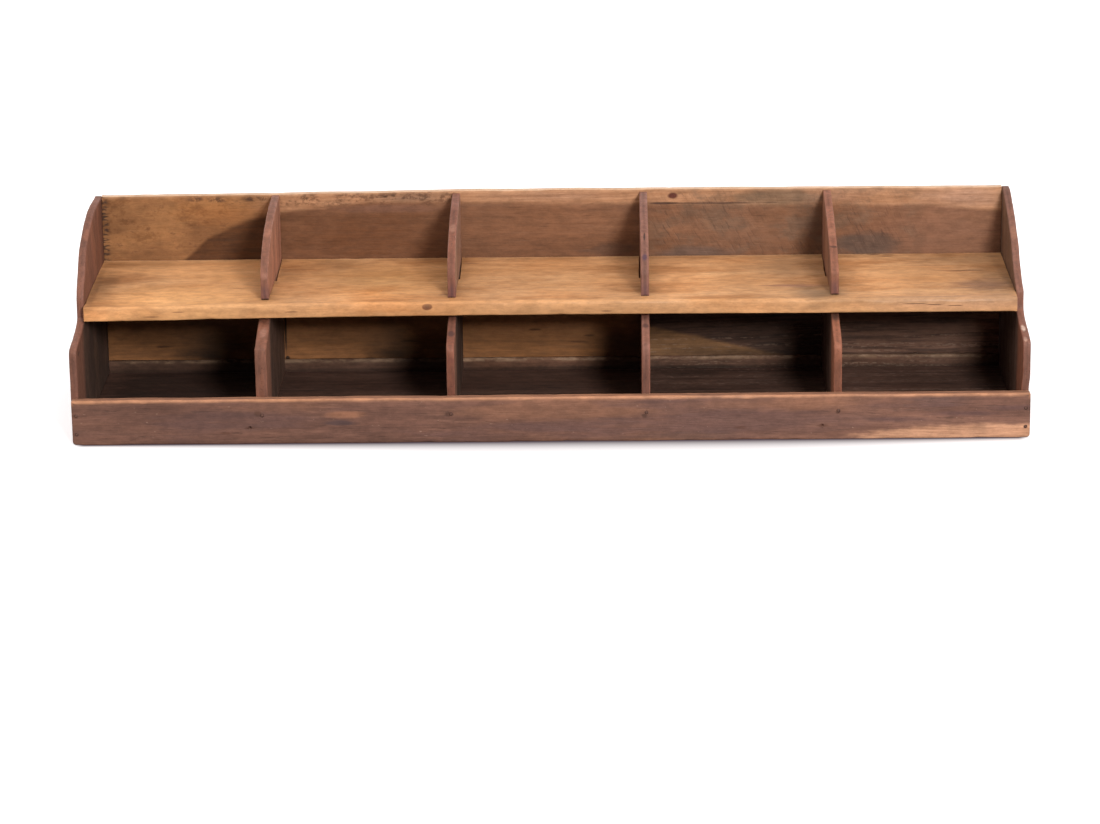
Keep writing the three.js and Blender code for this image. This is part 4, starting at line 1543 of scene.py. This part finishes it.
def rail_wood():
    tones = (tone(81, 55, 46), tone(110, 76, 63), tone(130, 93, 77))
    wood = Wood(
        "rail_wood", "X", "Y", 8.0, tones, pith=(50, 70), ring_gap=6.0, ring=0.18, streak=0.5, fleck=0.5,
        mottle=0.15,
    )
    wood.patches(tone(134, 92, 70), 0.5, 4.0, 34.0, 0.5, 0.64)
    wood.patches(tone(86, 62, 58), 0.6, 3.4, 30.0, 0.5, 0.62)
    wood.mark_on("Y", 0.0, 8)
    wood.shadowed((-420, 24), (150, 60), 0.84, soft=0.9, reach=20)
    wood.spot((-215, 31), (30, 5), (148, 100, 74), 0.55)
    wood.spot((-219.5, 22.5), (24, 4), (66, 49, 48), 0.85)
    nails = ((-305, 33, 6, 4), (-106.4, 31.3, 5, 4), (98.2, 27.3, 4, 3), (300.5, 29.8, 3, 2.5))
    for x, z, wide, tall in nails:
        wood.spot((x, z), (wide, tall), (68, 44, 35), 0.8, ragged=0.7)
    for x, z in ((-313.9, 17.8), (283.9, 15.1), (200, 14), (-340, 12)):
        wood.spot((x, z), (8, 2.0), (80, 50, 38), 0.6, ragged=1.0)
    for x, z in ((366, 21), (436, 27), (492, 33)):
        wood.spot((x, z), (58, 4.5), (82, 58, 56), 0.6, soft=0.9, ragged=1.0)
    wood.spot((255, 39), (150, 11), (152, 104, 77), 0.42, soft=0.9, ragged=1.0)
    wood.spot((-290, 40), (90, 10), (138, 94, 68), 0.25, soft=0.9, ragged=1.0)
    pale = wood.two_tones(0.4, 0.62, (188, 140, 110), (156, 113, 87))
    streak = wood.distance((480, -2), (190, 20), 0.5, reach=30)
    wood.blend(wood.remap(streak, 1.0, 0.75), pale, 0.9)
    wood.shades(RAIL_SHADES, "Y", 0.0, 8)
    wood.worn(tone(172, 121, 90), 0.9, above=46)
    specks = wood.streaks(wood.moved, 160.0, 420.0, detail=2.0, roughness=0.6)
    wood.blend(wood.remap(specks, 0.7, 0.78), tone(172, 138, 120), 0.4)
    return wood.shade(rough=0.58, bump=0.3)


def make_iron():
    shade = Shade("nail_iron")
    place = shade.node("ShaderNodeTexCoord").outputs["Object"]
    patch = shade.noise(place, 700.0, detail=4.0, roughness=0.65)
    stops = ((0.35, tone(66, 46, 40)), (0.55, tone(90, 62, 52)), (0.72, tone(112, 76, 58)))
    colour = shade.ramp(patch, stops)
    rough = shade.remap(patch, 0.3, 0.7, 0.55, 0.85)
    relief = shade.node("ShaderNodeBump", {"Strength": 0.4, "Distance": 0.0003, "Height": patch})
    inputs = {"Base Color": colour, "Roughness": rough, "Normal": relief.outputs["Normal"]}
    shader = shade.node("ShaderNodeBsdfPrincipled", inputs)
    shader.inputs["Metallic"].default_value = 0.6
    shade.output(shader.outputs["BSDF"])
    return shade.material


# Light and floor

def make_world():
    """A white background for the camera, and a low soft light that is stronger from behind."""
    world = bpy.data.worlds.new("studio")
    world.use_nodes = True
    bpy.context.scene.world = world
    sky = Nodes(world.node_tree)
    seen = sky.any_ray("Is Camera Ray", "Is Glossy Ray", "Is Transmission Ray")
    towards = sky.node("ShaderNodeTexCoord").outputs["Generated"]
    parts = sky.node("ShaderNodeSeparateXYZ", {0: towards}).outputs
    behind = sky.times(parts["Y"], sky.remap(parts["Z"], 0.5, 0.1, kind="LINEAR"))
    level = sky.remap(behind, 0.0, 1.0, WORLD_FRONT, WORLD_BACK, kind="LINEAR")
    fill = sky.node("ShaderNodeBackground", {"Color": WARM_WHITE, "Strength": level})
    white = sky.node("ShaderNodeBackground", {"Color": WHITE, "Strength": 1.0})
    pick = sky.node("ShaderNodeMixShader", {0: seen, 1: fill.outputs[0], 2: white.outputs[0]})
    sky.node("ShaderNodeOutputWorld", {"Surface": pick.outputs[0]})


def contact_shadow(shade):
    """A mask of the shadow painted under the rail, which reaches further forward in the middle."""
    place = shade.node("ShaderNodeTexCoord").outputs["Object"]
    parts = shade.node("ShaderNodeSeparateXYZ", {0: place}).outputs
    across, ahead = parts["X"], parts["Y"]
    width = shade.times(shade.remap(across, -0.52, 0.0), shade.remap(across, 0.58, 0.18))
    width = shade.math("ADD", shade.times(width, CONTACT_MIDDLE), CONTACT_END)
    away = shade.math("MAXIMUM", shade.math("SUBTRACT", FRONT * MM, ahead), 0.0)
    painted_shadow = shade.math("EXPONENT", shade.math("DIVIDE", shade.times(away, -1.0), width))
    painted_shadow = shade.times(painted_shadow, shade.remap(ahead, (FRONT + 60) * MM, (FRONT + 20) * MM, 0.0, 0.96))
    for outside, inside in ((-0.503, -0.488), (0.503, 0.488)):
        painted_shadow = shade.times(painted_shadow, shade.remap(across, outside, inside))
    return painted_shadow


def make_floor():
    """A pale table top: white to the camera apart from the object's own shadow and a shadow painted under the
    rail, and duller as a bounce.
    """
    mesh = bpy.data.meshes.new("table")
    corners = [(x * TABLE_HALF, y * TABLE_HALF, 0.0) for x, y in ((-1, -1), (1, -1), (1, 1), (-1, 1))]
    mesh.from_pydata(corners, [], [(0, 1, 2, 3)])
    table = add_object("table", mesh)
    shade = Shade("table_paint")
    seen = shade.any_ray("Is Camera Ray", "Is Glossy Ray")
    bounce = shade.node("ShaderNodeBsdfDiffuse", {"Color": TABLE_BOUNCE})
    paint = shade.node("ShaderNodeBsdfDiffuse", {"Color": TABLE_PAINT})
    glow = shade.node("ShaderNodeEmission", {"Color": WHITE, "Strength": 0.45})
    both = shade.node("ShaderNodeAddShader", {0: paint.outputs[0], 1: glow.outputs[0]})
    # A dark emission for the painted shadow under the rail.
    dark = shade.node("ShaderNodeEmission", {"Color": CONTACT_TONE, "Strength": 1.0})
    painted_shadow = contact_shadow(shade)
    both = shade.node("ShaderNodeMixShader", {0: painted_shadow, 1: both.outputs[0], 2: dark.outputs[0]})
    pick = shade.node("ShaderNodeMixShader", {0: seen, 1: bounce.outputs[0], 2: both.outputs[0]})
    shade.output(pick.outputs[0])
    mesh.materials.append(shade.material)


make_camera()
make_key()
make_sun("overhead", azimuth=8.0, elevation=72.0, strength=2.6, angle=90.0, colour=(1.0, 0.99, 0.97))
make_sun("left_fill", azimuth=-70.0, elevation=20.0, strength=0.5, angle=25.0, colour=(1.0, 0.95, 0.93))
make_world()
make_floor()
make_boards(make_woods())
make_nails(make_iron())

bpy.context.scene.view_settings.view_transform = "Standard"
